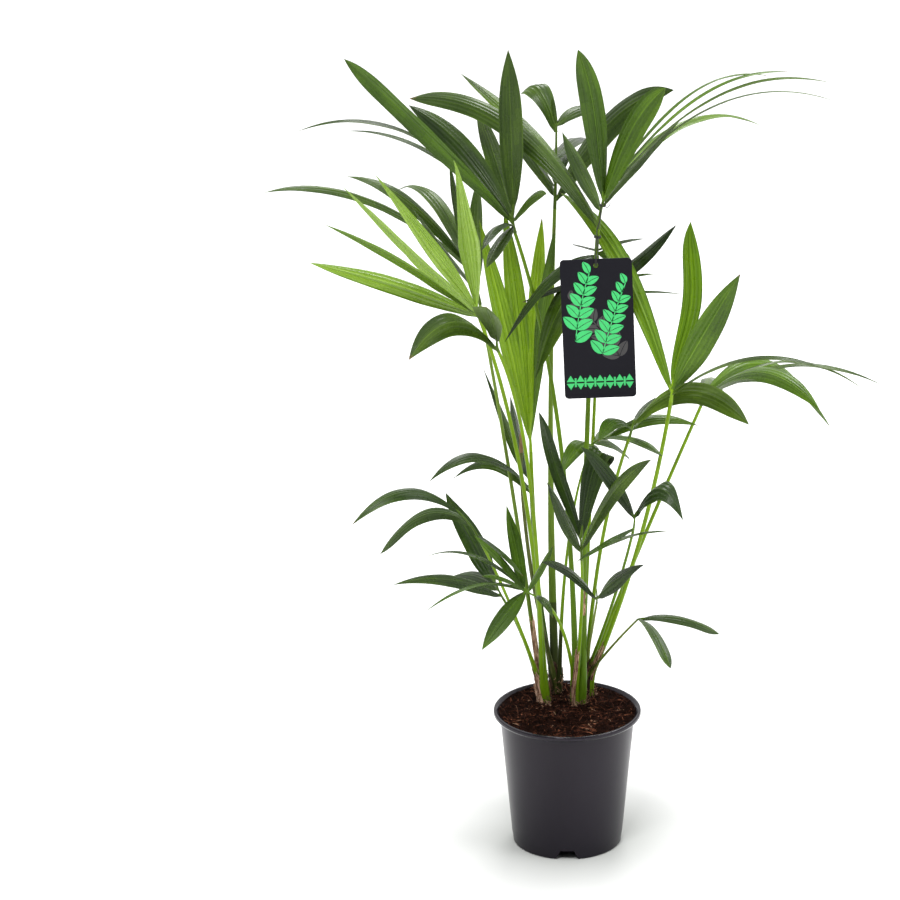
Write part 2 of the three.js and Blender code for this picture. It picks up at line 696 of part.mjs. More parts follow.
function tieGeometry() {
  const stalkRadius = FRONDS.crown_right.girth[1];
  const ringRadius = stalkRadius + 2 * GAP + TIE_RADIUS;
  const along = tiedStalk.getTangentAt(1 - TIE_BELOW_TOP / tiedStalk.getLength());
  const ring = new THREE.TorusGeometry(ringRadius, TIE_RADIUS, 5, 12)
    .applyQuaternion(new THREE.Quaternion().setFromUnitVectors(UP, along))
    .translate(...tiePoint.toArray());
  const strandPath = new THREE.CatmullRomCurve3([
    tagHole.clone().add(new THREE.Vector3(0, 5, -2)),
    tagHole.clone(),
    tagHole.clone().add(new THREE.Vector3(0, -3, TAG_HOLE_DROP + 2)),
    tagHole.clone().lerp(tiePoint, 0.5).add(new THREE.Vector3(0, -3, 0)),
    tiePoint.clone().add(new THREE.Vector3(0, -ringRadius, 0)),
  ]);
  const strand = taperedTube(strandPath, 8, [TIE_RADIUS, TIE_RADIUS]);
  return geometryOf(stand(solidOf(ring).add(solidOf(strand))));
}

add('tag_tie', tieGeometry(), 0x121212, 0.7);

// ---- Fronds: a rib with its leaflets; one that would touch a neighbour leans aside, or is left off ----

// The first lean at which a leaflet is clear of every neighbour, as a turned reach; none if it never is.
function clearReach(root, [, right, back, up, bow, width, twist], ownRib) {
  const reaches = LEANS_DEG.map((lean) => (
    new THREE.Vector3(right, back, up).applyAxisAngle(UP, THREE.MathUtils.degToRad(lean))));
  return reaches.find((reach) => isClear(solidOf(blade(root, reach, bow, width, twist, GAP)), ownRib));
}

for (const [name, frond] of Object.entries(FRONDS)) {
  const curve = ribCurve(frond);
  let solid = ribs[name];
  for (const leaflet of frond.leaflets) {
    const [share, , , , bow, width, twist] = leaflet;
    const root = curve.getPoint(share);
    const reach = clearReach(root, leaflet, ribs[name]);
    if (reach) solid = solid.add(solidOf(blade(root, reach, bow, width, twist)));
  }
  add('frond_' + name, geometryOf(stand(solid)), frond.colour);
}

export default palm;
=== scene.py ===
import math
import random
from collections import namedtuple

import bpy
import numpy as np
from mathutils import Matrix, Vector, noise


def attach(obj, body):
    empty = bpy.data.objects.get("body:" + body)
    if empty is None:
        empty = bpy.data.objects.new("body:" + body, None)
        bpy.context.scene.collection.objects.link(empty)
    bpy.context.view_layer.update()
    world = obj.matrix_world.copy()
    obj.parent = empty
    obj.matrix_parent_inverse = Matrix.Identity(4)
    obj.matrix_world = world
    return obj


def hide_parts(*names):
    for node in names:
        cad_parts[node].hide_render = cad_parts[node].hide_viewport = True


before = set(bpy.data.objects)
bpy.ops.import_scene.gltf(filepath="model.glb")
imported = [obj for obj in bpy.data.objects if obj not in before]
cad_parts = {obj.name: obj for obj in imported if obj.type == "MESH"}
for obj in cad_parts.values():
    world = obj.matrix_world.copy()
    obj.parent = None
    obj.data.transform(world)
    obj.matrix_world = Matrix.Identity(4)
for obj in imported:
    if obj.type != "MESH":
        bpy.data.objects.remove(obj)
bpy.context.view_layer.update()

MM = 0.001

# ---------------------------------------------------------------- camera

# The camera stands on the plant's own centre line and is turned a little about its own upright, so that the
# plant sits right of the middle without any lens shift.
CAMERA_PLACE = (0, -5.0, 2.325)
CAMERA_DOWN_DEG, CAMERA_TURN_DEG = 19.98, 1.506
CAMERA_LENS, CAMERA_SENSOR, CAMERA_CLIP = 178.28, 36, (0.1, 200)


def linked(name, data):
    made = bpy.data.objects.new(name, data)
    bpy.context.scene.collection.objects.link(made)
    return made


def make_camera():
    data = bpy.data.cameras.new("camera")
    data.lens = CAMERA_LENS
    data.sensor_width = CAMERA_SENSOR
    data.clip_start, data.clip_end = CAMERA_CLIP
    camera = linked("camera", data)
    camera.matrix_world = (
        Matrix.Translation(CAMERA_PLACE)
        @ Matrix.Rotation(math.radians(90 - CAMERA_DOWN_DEG), 4, "X")
        @ Matrix.Rotation(math.radians(CAMERA_TURN_DEG), 4, "Y")
    )
    bpy.context.scene.camera = camera


# ---------------------------------------------------------------- the part's own sizes, in millimetres

GAP = 0.3
POT_HEIGHT, POT_WALL, POT_LIP_DROP, POT_CORNER_RADIUS = 172, 1.6, 6.5, 4
POT_FOOT_RADIUS, POT_NECK_RADIUS, POT_LIP_RADIUS = 67, 82, 90
NECK_HEIGHT = POT_HEIGHT - POT_LIP_DROP
FLOOR_DISC_RADIUS, CHANNEL_OUTER_RADIUS, CHANNEL_SLOPE = 44, 57, 1.5
CHANNEL_HEIGHT, FLOOR_THICKNESS = 12, 2
FLOOR_TOP = CHANNEL_HEIGHT + FLOOR_THICKNESS
DRAIN_HOLES, DRAIN_HOLE_RADIUS, FOOT_NOTCHES = 8, 3.5, 4
MIX_EDGE_HEIGHT, MIX_MIDDLE_HEIGHT, STEM_SINK = 169, 170, 14
TAG_WIDTH, TAG_THICKNESS, TAG_HOLE_RADIUS, TAG_HOLE_DROP = 84, 1, 3.2, 8
TAG_TILT_DEG, TAG_HANG, TAG_SHIFT = 2.2, 27, -2
TIE_RADIUS, TIE_BELOW_TOP, TIE_STANDOFF = 0.8, 10, 26
RIB_TAPER = 0.55
BLADE_ROOT_SHARE, BLADE_WIDEST_AT, BLADE_TIP_POWER, BLADE_FOLD_SHARE = 0.24, 0.42, 1.5, 0.14
BLADE_FACE = np.array([0, -0.75, 0.66])
LEANS_DEG = [0, 4, -4, 8, -8, 12, -12, 17, -17, 22, -22, 28, -28, 35, -35]
UP = np.array([0.0, 0.0, 1.0])

# Each stem: the middle of its foot and of its top, its radii there, and how far out its stalks are seated.
Stem = namedtuple("Stem", "foot top radii seat")
STEMS = {
    "left": Stem((-24, 25), (-33.5, 22, 208), (7.6, 9.4), 6),
    "back": Stem((-15, 58), (-14.5, 56, 204), (7.4, 9.6), 6.3),
    "centre": Stem((13, 22), (13.5, 18, 216), (9, 11.2), 7.4),
    "right": Stem((27, 50), (28, 47, 204), (7, 9), 6),
}
SHEATHS = ("sheath_left", "sheath_back", "sheath_centre", "sheath_right")

# Each frond: its stem, the degrees round the stem at which its stalk is seated, the stalk's radii at foot and
# top, its waist and top, the way from there to the rib's end, its leaflets' kind, how fresh they are, from 0 to
# 4, and the leaflets. Each leaflet: where it leaves the rib, its tip from there (right, back, up), bow, width and
# twist in degrees.
Frond = namedtuple("Frond", "stem seat girth waist top rib kind fresh leaflets", defaults=(None,) * 4)
FRONDS = {
    "crown_left": Frond("centre", 120, (3.6, 2.3), (5, 35, 560), (-61, 10, 775), (-2, -5, 30), "dark", 1.4, [
        (0.45, -190, -100, 225, 8, 23, 0), (0.6, -125, 120, 105, 18, 26, 0),
        (0.5, -245, -70, 130, 55, 16, 60), (0.4, -195, 45, 100, 32, 16, 60), (0.7, -45, 165, 90, 0, 23, 0),
        (1, -5, -25, 200, 0, 28, 0), (0.5, 40, -55, 50, 10, 16, 10), (0.3, -30, -100, -20, 5, 15, 10),
        (0.3, -35, -130, 10, 14, 14, 20),
    ]),
    "crown_middle": Frond("back", 100, (3.4, 2.2), (-25, 115, 490), (-15, 150, 762), (2, 0, 104), "dark", 1.3, [
        (0.15, -45, 70, 50, 4, 19, 20), (0.25, -25, -60, 60, 0, 12, 50), (0.92, -40, 45, 35, 29, 30, 0),
        (1, 60, 70, -5, 14, 19, 20), (1, -5, 0, 35, 0, 7, 30), (0.3, 10, 205, -15, 17, 23, 10),
        (0.6, 40, 165, -25, 12, 21, 20), (0.1, 140, -85, 160, 32, 33, 0),
    ]),
    "crown_right": Frond("centre", 330, (3.6, 2.3), (20, -5, 570), (36, -29, 792), (9, 3, 44), "dark", 2.2, [
        (0.05, -225, 180, 105, 48, 26, 0), (0.15, -165, 240, 115, 16, 21, 20),
        (0.8, -30, -40, 190, 24, 28, 0), (0.5, -45, 105, 65, 0, 19, 20), (0.75, 70, -70, 155, 20, 30, 0),
        (1, 190, 105, 110, 46, 13, 60), (0.95, 210, 20, 140, 42, 13, 60), (0.9, 250, -70, 155, 50, 13, 60),
        (0.85, 250, -155, 160, 52, 13, 60), (1, 185, 195, 25, 44, 19, 35), (0.6, 85, -200, 160, 6, 14, 60),
    ]),
    "crown_back": Frond("centre", 50, (2.8, 2), (30, 60, 460), (37, 47, 674), (-1, -5, 70), "dark", 1.1, [
        (0.9, -110, -55, -90, 29, 16, 40), (0.5, -90, -20, -25, 5, 14, 50), (1, -30, 55, -10, 0, 12, 60),
        (0.95, 40, -25, -5, 5, 21, 0), (1, 55, -5, 15, 4, 14, 60), (0.3, 90, -70, 100, -4, 22, 15),
        (0.25, 65, -45, 35, 7, 12, 60), (0.15, 95, -100, 35, 5, 14, 60), (0.2, -75, -65, -85, 50, 26, 10),
        (0.5, -10, 215, -120, 26, 21, 10), (0.7, 15, 205, -110, 22, 19, 30),
    ]),
    "left_upper": Frond("left", 110, (2.8, 2.1), (-65, 75, 440), (-104, 72, 666), (-9, -5, 43), "deep", 2.6, [
        (1, -235, -155, 145, 42, 19, 35), (0.95, -150, 35, 110, 29, 21, 30), (0.9, -95, 150, 60, 43, 21, 25),
        (0.4, -70, -185, 160, 0, 14, 60), (0.6, -30, -10, 155, 0, 16, 40), (0.5, 0, 105, 105, 0, 19, 20),
        (0.5, -40, 240, -20, 26, 19, 10),
    ]),
    "left_lime": Frond("left", 350, (2.9, 2.2), (-45, -5, 510), (-101, -83, 698), (-4, -2, 18), "pale", 2.7, [
        (0.8, -115, -40, 175, 4, 20, 0), (0.5, -145, -175, 205, 1, 16, 20), (0.7, -100, 105, 55, -2, 16, 20),
        (0.4, -170, -115, 145, 8, 16, 30), (0.3, -195, -15, 70, 4, 23, 0), (0.9, -25, -25, 185, 30, 21, 0),
    ]),
    "middle_lime": Frond("left", 50, (2.9, 2.2), (-40, 20, 385), (-44, 75, 477), (-1, 1, 28), "lime", 2.6, [
        (0.5, -60, -15, 285, 0, 23, 0), (0.9, -30, 10, 280, 0, 25, 0), (1, 15, 15, 265, 4, 19, 0),
        (0.6, 30, -5, 270, 10, 16, 20),
    ]),
    "left_bent": Frond("left", 290, (2.6, 2), (-35, -70, 555), (-79, -122, 672), (-2, -1, 17), "green", 0.9, [
        (0.15, -100, -95, 20, 40, 30, 0), (0.95, -10, -110, 75, 6, 35, 0),
    ]),
    "left_dark": Frond("back", 180, (2.2, 1.6), (-40, 90, 320), (-44, 80, 413), (-4, 0, 32), "deep", 1.6, [
        (0.9, -55, 50, 125, 0, 14, 20), (1, -20, -65, 125, 0, 14, 40), (0.5, -135, -110, 55, 38, 19, 20),
        (0.3, -95, 35, 5, 28, 14, 5),
    ]),
    "left_low": Frond("left", 230, (2.3, 1.6), (-70, -55, 345), (-105, -98, 434), (-21, -2, 31), "deep", 1.4, [
        (1, -125, -55, 5, 34, 20, 20), (0.5, -110, 60, -60, 31, 18, 5), (0.1, 55, -70, -25, 6, 12, 55),
    ]),
    "left_low_back": Frond("left", 170, (2.2, 1.6), (-55, 5, 275), (-76, -36, 329), (-12, 2, 25), "deep", 1.2, [
        (0.3, -125, -130, 65, 14, 21, 15), (0.6, -65, 85, -20, 11, 19, 10), (0.9, -60, 55, 95, -4, 26, 0),
    ]),
    "front_low": Frond("centre", 190, (2.2, 1.6), (-5, -55, 315), (-26, -145, 370), (-25, -2, 16), "green", 1.1, [
        (0.9, -120, 75, 15, 24, 14, 60), (0.9, -60, 15, 70, 5, 13, 35), (0.9, 30, 60, 35, 0, 12, 30),
        (0.95, -50, -55, 40, 7, 12, 30), (1, -110, -115, 20, 20, 14, 60), (0.95, -50, -85, -40, 4, 21, 0),
        (0.6, 20, -55, -5, 10, 12, 20), (1, -20, 30, 95, 0, 16, 0),
    ]),
    "centre_dark": Frond("centre", 260, (2.4, 1.7), (20, -30, 330), (17, -98, 405), (-1, -2, 34), "dark", 1.0, [
        (0.8, -50, 75, 135, 10, 16, 0), (0.4, -40, -85, 120, 0, 16, 0), (0.9, 35, 15, 85, 50, 32, 0),
        (0.5, 80, -100, 150, 17, 18, 0), (0.1, 100, -145, 90, 10, 15, 50),
    ]),
    "right_small": Frond("back", 330, (2, 1.4), (-5, 35, 405), (27, 26, 499), (20, -2, 15), "green", 1.6, [
        (0.2, -20, -60, -20, 18, 20, 0), (0.4, 45, 75, -50, 10, 15, 10), (1, 110, 15, 10, 16, 18, 20),
        (0.9, 75, -100, 15, 11, 16, 30), (0.4, 20, 190, -70, 17, 16, 10),
    ]),
    "right_middle": Frond("right", 130, (2.6, 2), (35, 25, 395), (73, -52, 541), (5, -2, 21), "green", 0.9, [
        (0.9, 120, -70, 10, 40, 27, 0), (0.6, -40, -70, 10, 18, 19, 10), (0.5, 30, 90, 10, 5, 12, 20),
    ]),
    "right_long": Frond("right", 60, (3, 2.3), (75, 100, 315), (162, 103, 527), (5, 0, 17), "dark", 2.6, [
        (0.5, 195, 70, -10, 42, 14, 65), (0.7, 210, -60, 35, 34, 15, 60), (0.6, 130, -190, 50, 40, 23, 0),
        (0.9, 160, 115, -85, 58, 23, 10), (0.4, 60, -115, 65, 10, 12, 20), (0.5, 30, 210, -70, 26, 19, 10),
    ]),
    "right_lime": Frond("right", 0, (3, 2.4), (95, -5, 385), (121, -83, 597), (2, 0, 21), "lime", 1.6, [
        (0.6, -105, 195, 190, 43, 20, 0), (1, 20, 30, 190, 2, 23, 0), (0.8, 75, -60, 160, 2, 33, 0),
        (0.5, 170, -100, 65, 29, 16, 55),
    ]),
    "right_low": Frond("right", 245, (2.2, 1.6), (60, -30, 330), (77, -130, 453), (2, -2, 20), "green", 1.0, [
        (0.9, -55, -35, 95, 10, 18, 0), (1, 55, -55, 15, 36, 34, 5), (0.3, -60, -100, -5, 4, 14, 40),
    ]),
    "small_two_lobed": Frond("right", 190, (1.7, 1.3), (30, -15, 280), (35, -98, 350), (0, -2, 15), "dark", 0.9, [
        (0.5, -65, -85, 80, 11, 15, 5), (0.6, 55, -70, 70, 6, 22, 0),
    ]),
    "right_two_lobed": Frond("right", 300, (1.8, 1.3), (60, -5, 265), (84, -36, 303), (6, -2, 3), "deep", 2.2, [
        (0.7, 95, 0, -20, 10, 18, 30), (0.5, 35, -130, -10, 13, 14, 20),
    ]),
}
CUT_STALK = Frond("back", 235, (2.8, 2), (-59, 25, 382), (-55, 30, 519))

# ---------------------------------------------------------------- meshes from arrays

# How much of its grain map a limb or leaflet takes up for each millimetre of its length.
GRAIN_SCALE = 0.01


class Build:
    """Gathers vertices and faces, each face with a material, for one joined piece."""

    def __init__(self, name, materials):
        self.name, self.materials = name, materials
        self.points, self.faces, self.paint, self.uvs, self.count = [], [], [], [], 0

    def add(self, points, faces, paint, uvs=None):
        """points in millimetres. paint is one material's place in the list, or one for each face."""
        points = np.asarray(points, float).reshape(-1, 3)
        self.points.append(points * MM)
        self.uvs.append(np.zeros((len(points), 2)) if uvs is None else np.asarray(uvs, float).reshape(-1, 2))
        self.faces += [tuple(int(i) + self.count for i in face) for face in faces]
        self.paint += [paint] * len(faces) if isinstance(paint, int) else [int(p) for p in paint]
        self.count += len(points)

    def done(self, slot, replaces=(), smooth_deg=42):
        mesh = bpy.data.meshes.new(self.name)
        mesh.from_pydata(np.concatenate(self.points), [], self.faces)
        for material in self.materials:
            mesh.materials.append(material)
        mesh.polygons.foreach_set("material_index", self.paint)
        layer = mesh.uv_layers.new(name="grain")
        corner_points = np.empty(len(mesh.loops), dtype=np.int32)
        mesh.loops.foreach_get("vertex_index", corner_points)
        layer.data.foreach_set("uv", np.concatenate(self.uvs)[corner_points].ravel())
        mesh.polygons.foreach_set("use_smooth", [True] * len(mesh.polygons))
        mesh.set_sharp_from_angle(angle=math.radians(smooth_deg))
        mesh.update()
        piece = linked(self.name, mesh)
        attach(piece, "root")
        if replaces:
            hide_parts(*replaces)
        return piece


def unit(v):
    v = np.asarray(v, float)
    return v / np.maximum(np.linalg.norm(v, axis=-1, keepdims=True), 1e-12)


def turned(v, axis, angle):
    """v turned about a unit axis by an angle in radians; rows of v may each have their own axis and angle."""
    angle = np.asarray(angle, float)[..., None]
    along = np.sum(v * axis, axis=-1, keepdims=True)
    return v * np.cos(angle) + np.cross(axis, v) * np.sin(angle) + axis * along * (1 - np.cos(angle))


def level(degrees, reach):
    """A level step of a length, in a direction from the right towards the back."""
    angle = math.radians(degrees)
    return reach * np.array([math.cos(angle), math.sin(angle), 0])


def bezier(p0, p1, p2, t):
    t = np.asarray(t, float)[:, None]
    return (1 - t) ** 2 * p0 + 2 * t * (1 - t) * p1 + t ** 2 * p2


def bezier_slope(p0, p1, p2, t):
    t = np.asarray(t, float)[:, None]
    return 2 * (1 - t) * (p1 - p0) + 2 * t * (p2 - p1)


def rough_at(x, y, z):
    return noise.noise(Vector((x, y, z)))


def ring_faces(rows, sides, first=0):
    """Quads over rows of rings, each ring anticlockwise about the way the rows run."""
    faces = []
    for k in range(rows - 1):
        a, b = first + k * sides, first + (k + 1) * sides
        for i in range(sides):
            j = (i + 1) % sides
            faces.append((a + i, a + j, b + j, b + i))
    return faces


def lathe_faces(rows, sides, last=None):
    """Quads over rings round a first point, closed over the last point if there is one."""
    faces = [(0, 1 + (i + 1) % sides, 1 + i) for i in range(sides)] + ring_faces(rows, sides, 1)
    if last:
        a = 1 + (rows - 1) * sides
        faces += [(a + i, a + (i + 1) % sides, last) for i in range(sides)]
    return faces


def flipped(faces):
    """The same faces seen from their other side, each with its first point kept."""
    return [(face[0], *face[:0:-1]) for face in faces]


def tube(build, centres, radii, sides, paint, groove=None, rough=0.0, seed=0):
    """A tube through the centres. groove gives, for each row, how deep a channel runs along its upper side.

    paint is one material's place in the list, or one for each row of faces. rough makes the radii uneven.
    """
    centres = np.asarray(centres, float)
    rows = len(centres)
    slopes = unit(np.gradient(centres, axis=0))
    across = unit(np.array([0, 1.0, 0]) - slopes * slopes[:, 1:2])
    other = np.cross(slopes, across)
    angles = 2 * np.pi * np.arange(sides) / sides
    ring_radii = np.repeat(np.asarray(radii, float)[:, None], sides, axis=1)
    if rough:
        for k in range(rows):
            for i, angle in enumerate(angles):
                x, y = 3 * math.cos(angle), 3 * math.sin(angle) + seed * 7.3
                ring_radii[k, i] *= 1 + rough * rough_at(x, y, k * 0.12)
    if groove is not None:
        # the channel faces up and outward, on the side away from the ground
        top = unit(UP - slopes * slopes[:, 2:3])
        toward = np.arctan2(np.sum(top * other, axis=1), np.sum(top * across, axis=1))
        away = np.cos(angles[None, :] - toward[:, None])
        ring_radii *= 1 - np.asarray(groove)[:, None] * np.clip(away, 0, 1) ** 3
    points = (
        centres[:, None, :]
        + across[:, None, :] * (ring_radii * np.cos(angles)[None, :])[..., None]
        + other[:, None, :] * (ring_radii * np.sin(angles)[None, :])[..., None]
    )
    lengths = np.concatenate([[0], np.cumsum(np.linalg.norm(np.diff(centres, axis=0), axis=1))])
    round_it = np.repeat((np.arange(sides) / sides)[None, :], rows, axis=0)
    uvs = np.stack([round_it, np.repeat(lengths[:, None] * GRAIN_SCALE, sides, axis=1)], axis=-1)
    ends = [tuple(range(sides - 1, -1, -1)), tuple((rows - 1) * sides + i for i in range(sides))]
    if not isinstance(paint, int):
        by_row = [paint[min(k, len(paint) - 1)] for k in range(rows - 1)]
        paint = [one for one in by_row for _ in range(sides)] + [paint[0], paint[-1]]
    build.add(points, ring_faces(rows, sides) + ends, paint, uvs)


# ---------------------------------------------------------------- materials

COLOUR, ROUGHNESS, SHINE, SHINE_TINT = "Base Color", "Roughness", "Specular IOR Level", "Specular Tint"


class Nodes:
    """The node tree of a material or of the world, with the shader that its nodes lead to."""

    def __init__(self, owner, shader, inputs):
        owner.use_nodes = True
        self.owner, self.tree = owner, owner.node_tree
        self.shader = self.tree.nodes[shader]
        self.feed(inputs)

    def feed(self, inputs, node=None):
        """Gives a node its inputs: each one a value, or the output of another node."""
        for key, value in inputs.items():
            socket = (node or self.shader).inputs[key]
            if isinstance(value, bpy.types.NodeSocket):
                self.tree.links.new(value, socket)
            else:
                socket.default_value = value

    def made(self, kind, inputs, **settings):
        """The outputs of a new node."""
        node = self.tree.nodes.new("ShaderNode" + kind)
        for key, value in settings.items():
            setattr(node, key, value)
        self.feed(inputs, node)
        return node.outputs

    def maths(self, operation, *values):
        return self.made("Math", dict(enumerate(values)), operation=operation)[0]

    def place(self, axis=None, space="Object"):
        """Where a point lies, or how far along one axis."""
        spot = self.made("TexCoord", {})[space]
        return self.made("SeparateXYZ", {"Vector": spot})[axis] if axis else spot

    def cloud(self, scale, stretch=(1, 1, 1), detail=4.0, roughness=0.6):
        """Noise over the object, stretched along an axis."""
        spot = self.made("Mapping", {"Vector": self.place(), "Scale": stretch})["Vector"]
        grain = {"Vector": spot, "Scale": scale, "Detail": detail, "Roughness": roughness}
        return self.made("TexNoise", grain)["Fac"]

    def spread(self, source, low, high, low_in=0.3, high_in=0.7):
        """From low to high, as the source goes from low_in to high_in."""
        span = {"Value": source, "From Min": low_in, "From Max": high_in, "To Min": low, "To Max": high}
        return self.made("MapRange", span)["Result"]

    def blend(self, factor, first, second):
        return self.made("Mix", {0: factor, 6: (*first, 1), 7: (*second, 1)}, data_type="RGBA")[2]

    def veins(self, lines):
        """Fine lengthwise veins: stripes across the leaflet, from its own grain coordinates."""
        grain = self.made("UVMap", {}, uv_map="grain")["UV"]
        across = self.made("SeparateXYZ", {"Vector": grain})["X"]
        return self.maths("SINE", self.maths("MULTIPLY", across, lines * 2 * math.pi))

    def bump(self, height, strength, distance):
        relief = {"Strength": strength, "Distance": distance, "Height": height}
        self.feed({"Normal": self.made("Bump", relief)["Normal"]})


def skin(name, inputs):
    return Nodes(bpy.data.materials.new(name), "Principled BSDF", inputs)


def leaf_material(name, colour, roughness, vein_strength=0.25, shine=0.2):
    """Leaf skin: a plain base colour, veined, with a soft uneven gloss."""
    leaf = skin(name, {COLOUR: (*colour, 1), SHINE: shine})
    leaf.feed({ROUGHNESS: leaf.spread(leaf.cloud(60, detail=3), roughness - 0.07, roughness + 0.09)})
    leaf.bump(leaf.veins(LEAF_VEINS), vein_strength, 0.00012)
    return leaf.owner


# Plain tints of each kind, from the deepest to the freshest; leaf_tints puts one more between each two.
LEAF_COLOURS = {
    "dark": [
        (0.009, 0.022, 0.002), (0.018, 0.040, 0.003), (0.032, 0.064, 0.005), (0.054, 0.101, 0.007),
        (0.090, 0.158, 0.012),
    ],
    "deep": [
        (0.008, 0.022, 0.002), (0.016, 0.038, 0.003), (0.029, 0.062, 0.0045), (0.048, 0.094, 0.0065),
        (0.076, 0.140, 0.011),
    ],
    "green": [
        (0.022, 0.050, 0.003), (0.038, 0.082, 0.0045), (0.060, 0.125, 0.006), (0.092, 0.180, 0.009),
        (0.135, 0.245, 0.015),
    ],
    "lime": [
        (0.062, 0.135, 0.003), (0.105, 0.208, 0.004), (0.155, 0.285, 0.006), (0.215, 0.370, 0.010),
        (0.290, 0.460, 0.022),
    ],
    "pale": [
        (0.068, 0.138, 0.006), (0.112, 0.210, 0.010), (0.165, 0.290, 0.018), (0.225, 0.370, 0.034),
        (0.300, 0.460, 0.070),
    ],
}
TONES, LEAF_VEINS = 9, 26
MIDRIB, DRY = 2 * TONES, 2 * TONES + 1
# Each kind's roughness and shine.
GLOSS = {
    "dark": (0.27, 0.2), "deep": (0.28, 0.3), "green": (0.27, 0.22), "lime": (0.31, 0.25),
    "pale": (0.26, 0.58),
}
UNDER_FADE, UNDER_PALE = 0.82, (0.006, 0.010, 0.002)
RIB_FADE, RIB_PALE = 0.9, (0.02, 0.03, 0.005)
DRY_TIP = (0.15, 0.095, 0.04)


def paler(colour, fade, pale):
    return tuple(fade * c + a for c, a in zip(colour, pale))


def leaf_tints(kind):
    five = LEAF_COLOURS[kind]
    between = [tuple((a + b) / 2 for a, b in zip(*pair)) for pair in zip(five, five[1:])]
    return [between[n // 2] if n % 2 else five[n // 2] for n in range(TONES)]


def leaf_materials(kind):
    """Each tint with its upper face and its paler underside, then the rib and the dry tip."""
    made = []
    roughness, shine = GLOSS[kind]
    for number, colour in enumerate(leaf_tints(kind), 1):
        under = paler(colour, UNDER_FADE, UNDER_PALE)
        made.append(leaf_material(f"leaf_{kind}_{number}_upper", colour, roughness, shine=shine))
        made.append(leaf_material(f"leaf_{kind}_{number}_under", under, 0.55, 0.4))
    rib = paler(LEAF_COLOURS[kind][3], RIB_FADE, RIB_PALE)
    made.append(leaf_material(f"leaf_{kind}_midrib", rib, 0.42, 0.1))
    made.append(leaf_material(f"leaf_{kind}_dry_tip", DRY_TIP, 0.7, 0.3))
    return made


def stalk_material(name, low, high, roughness=0.45, speckle=0.15):
    """A stalk's skin: one colour low down that turns to another higher up, with fine lengthwise fibres."""
    stalk = skin(name, {SHINE: 0.16})
    colour = stalk.blend(stalk.spread(stalk.place("Z"), 0, 1, 0.18, 0.52), low, high)
    cloud = stalk.cloud(130, (1, 1, 0.12), detail=5)
    dark = stalk.spread(cloud, 1 - speckle, 1 + speckle)
    tone = stalk.made("Mix", {0: 1, 6: colour, 7: dark}, data_type="RGBA", blend_type="MULTIPLY")[2]
    stalk.feed({COLOUR: tone, ROUGHNESS: stalk.spread(cloud, roughness - 0.08, roughness + 0.1)})
    stalk.bump(cloud, 0.35, 0.0004)
    return stalk.owner


def dry_material(name, dark, pale, roughness=0.85, shine=0.2, scale=220):
    """Dry plant fibre: streaks between two browns."""
    fibre = skin(name, {ROUGHNESS: roughness, SHINE: shine})
    cloud = fibre.cloud(scale, (1, 1, 0.1), detail=6, roughness=0.7)
    fibre.feed({COLOUR: fibre.blend(fibre.spread(cloud, 0, 1, 0.36, 0.64), dark, pale)})
    fibre.bump(cloud, 0.6, 0.0006)
    return fibre.owner


def plastic_material(name, colour, roughness, grain=900, strength=0.12, shine=0.5):
    """Moulded plastic: fine grain in the skin and a faintly uneven gloss."""
    plastic = skin(name, {SHINE: shine, SHINE_TINT: (1.0, 0.93, 1.0, 1)})
    cloud = plastic.cloud(9, (1, 1, 0.5), detail=3)
    darker, lighter = (tuple(c * factor for c in colour) for factor in (0.88, 1.14))
    plastic.feed({
        COLOUR: plastic.blend(plastic.spread(cloud, 0, 1, 0.35, 0.65), darker, lighter),
        ROUGHNESS: plastic.spread(cloud, roughness - 0.05, roughness + 0.06),
    })
    plastic.bump(plastic.cloud(grain, detail=2), strength, 0.0002)
    return plastic.owner


def print_material(name, colour):
    """Ink on card: even, with the card's fine tooth."""
    ink = skin(name, {COLOUR: (*colour, 1)})
    cloud = ink.cloud(500, detail=2)
    ink.feed({ROUGHNESS: ink.spread(cloud, 0.42, 0.55)})
    ink.bump(cloud, 0.1, 0.0001)
    return ink.owner


# ---------------------------------------------------------------- the limbs' lines, by the source's rule

# How near to a corner of the solid a leaflet's tip has to lie to be that corner, in millimetres.
NEAR_CORNER = 0.5


def mix_height(x, y):
    share = min(1, math.hypot(x, y) / POT_NECK_RADIUS)
    return MIX_MIDDLE_HEIGHT + (MIX_EDGE_HEIGHT - MIX_MIDDLE_HEIGHT) * share ** 2


def stem_ends(stem):
    x, y = stem.foot
    return np.array([x, y, mix_height(x, y) - STEM_SINK]), np.array(stem.top, float)


def stalk_points(frond):
    """The three points of a stalk's curve: its foot on the stem's top, its waist and its top."""
    stem = STEMS[frond.stem]
    low, high = stem_ends(stem)
    foot = high + level(frond.seat, stem.seat)
    waist = np.array(frond.waist, float)
    slant = math.sqrt(max(0, 1 - unit(waist - foot)[2] ** 2))
    stem_slant = math.sqrt(max(0, 1 - unit(high - low)[2] ** 2))
    foot[2] += 2 * GAP + frond.girth[0] * slant + stem.radii[1] * stem_slant
    return foot, waist, np.array(frond.top, float)


def rib_points(frond):
    """The three points of a rib's curve, which goes on from its stalk's top."""
    _, waist, top = stalk_points(frond)
    end_slope = unit(top - waist)
    rib = np.array(frond.rib, float)
    start = top + GAP * end_slope
    return start, start + end_slope * np.linalg.norm(rib) / 2, top + rib


def chosen_reach(root, reach, corners):
    """The lean that the solid frond took for this leaflet: the one whose tip is a corner of the solid."""
    for lean in LEANS_DEG:
        leant = turned(np.array(reach, float), UP, math.radians(lean))
        if np.min(np.linalg.norm(corners - (root + leant), axis=1)) < NEAR_CORNER:
            return leant
    return None


# ---------------------------------------------------------------- leaflets

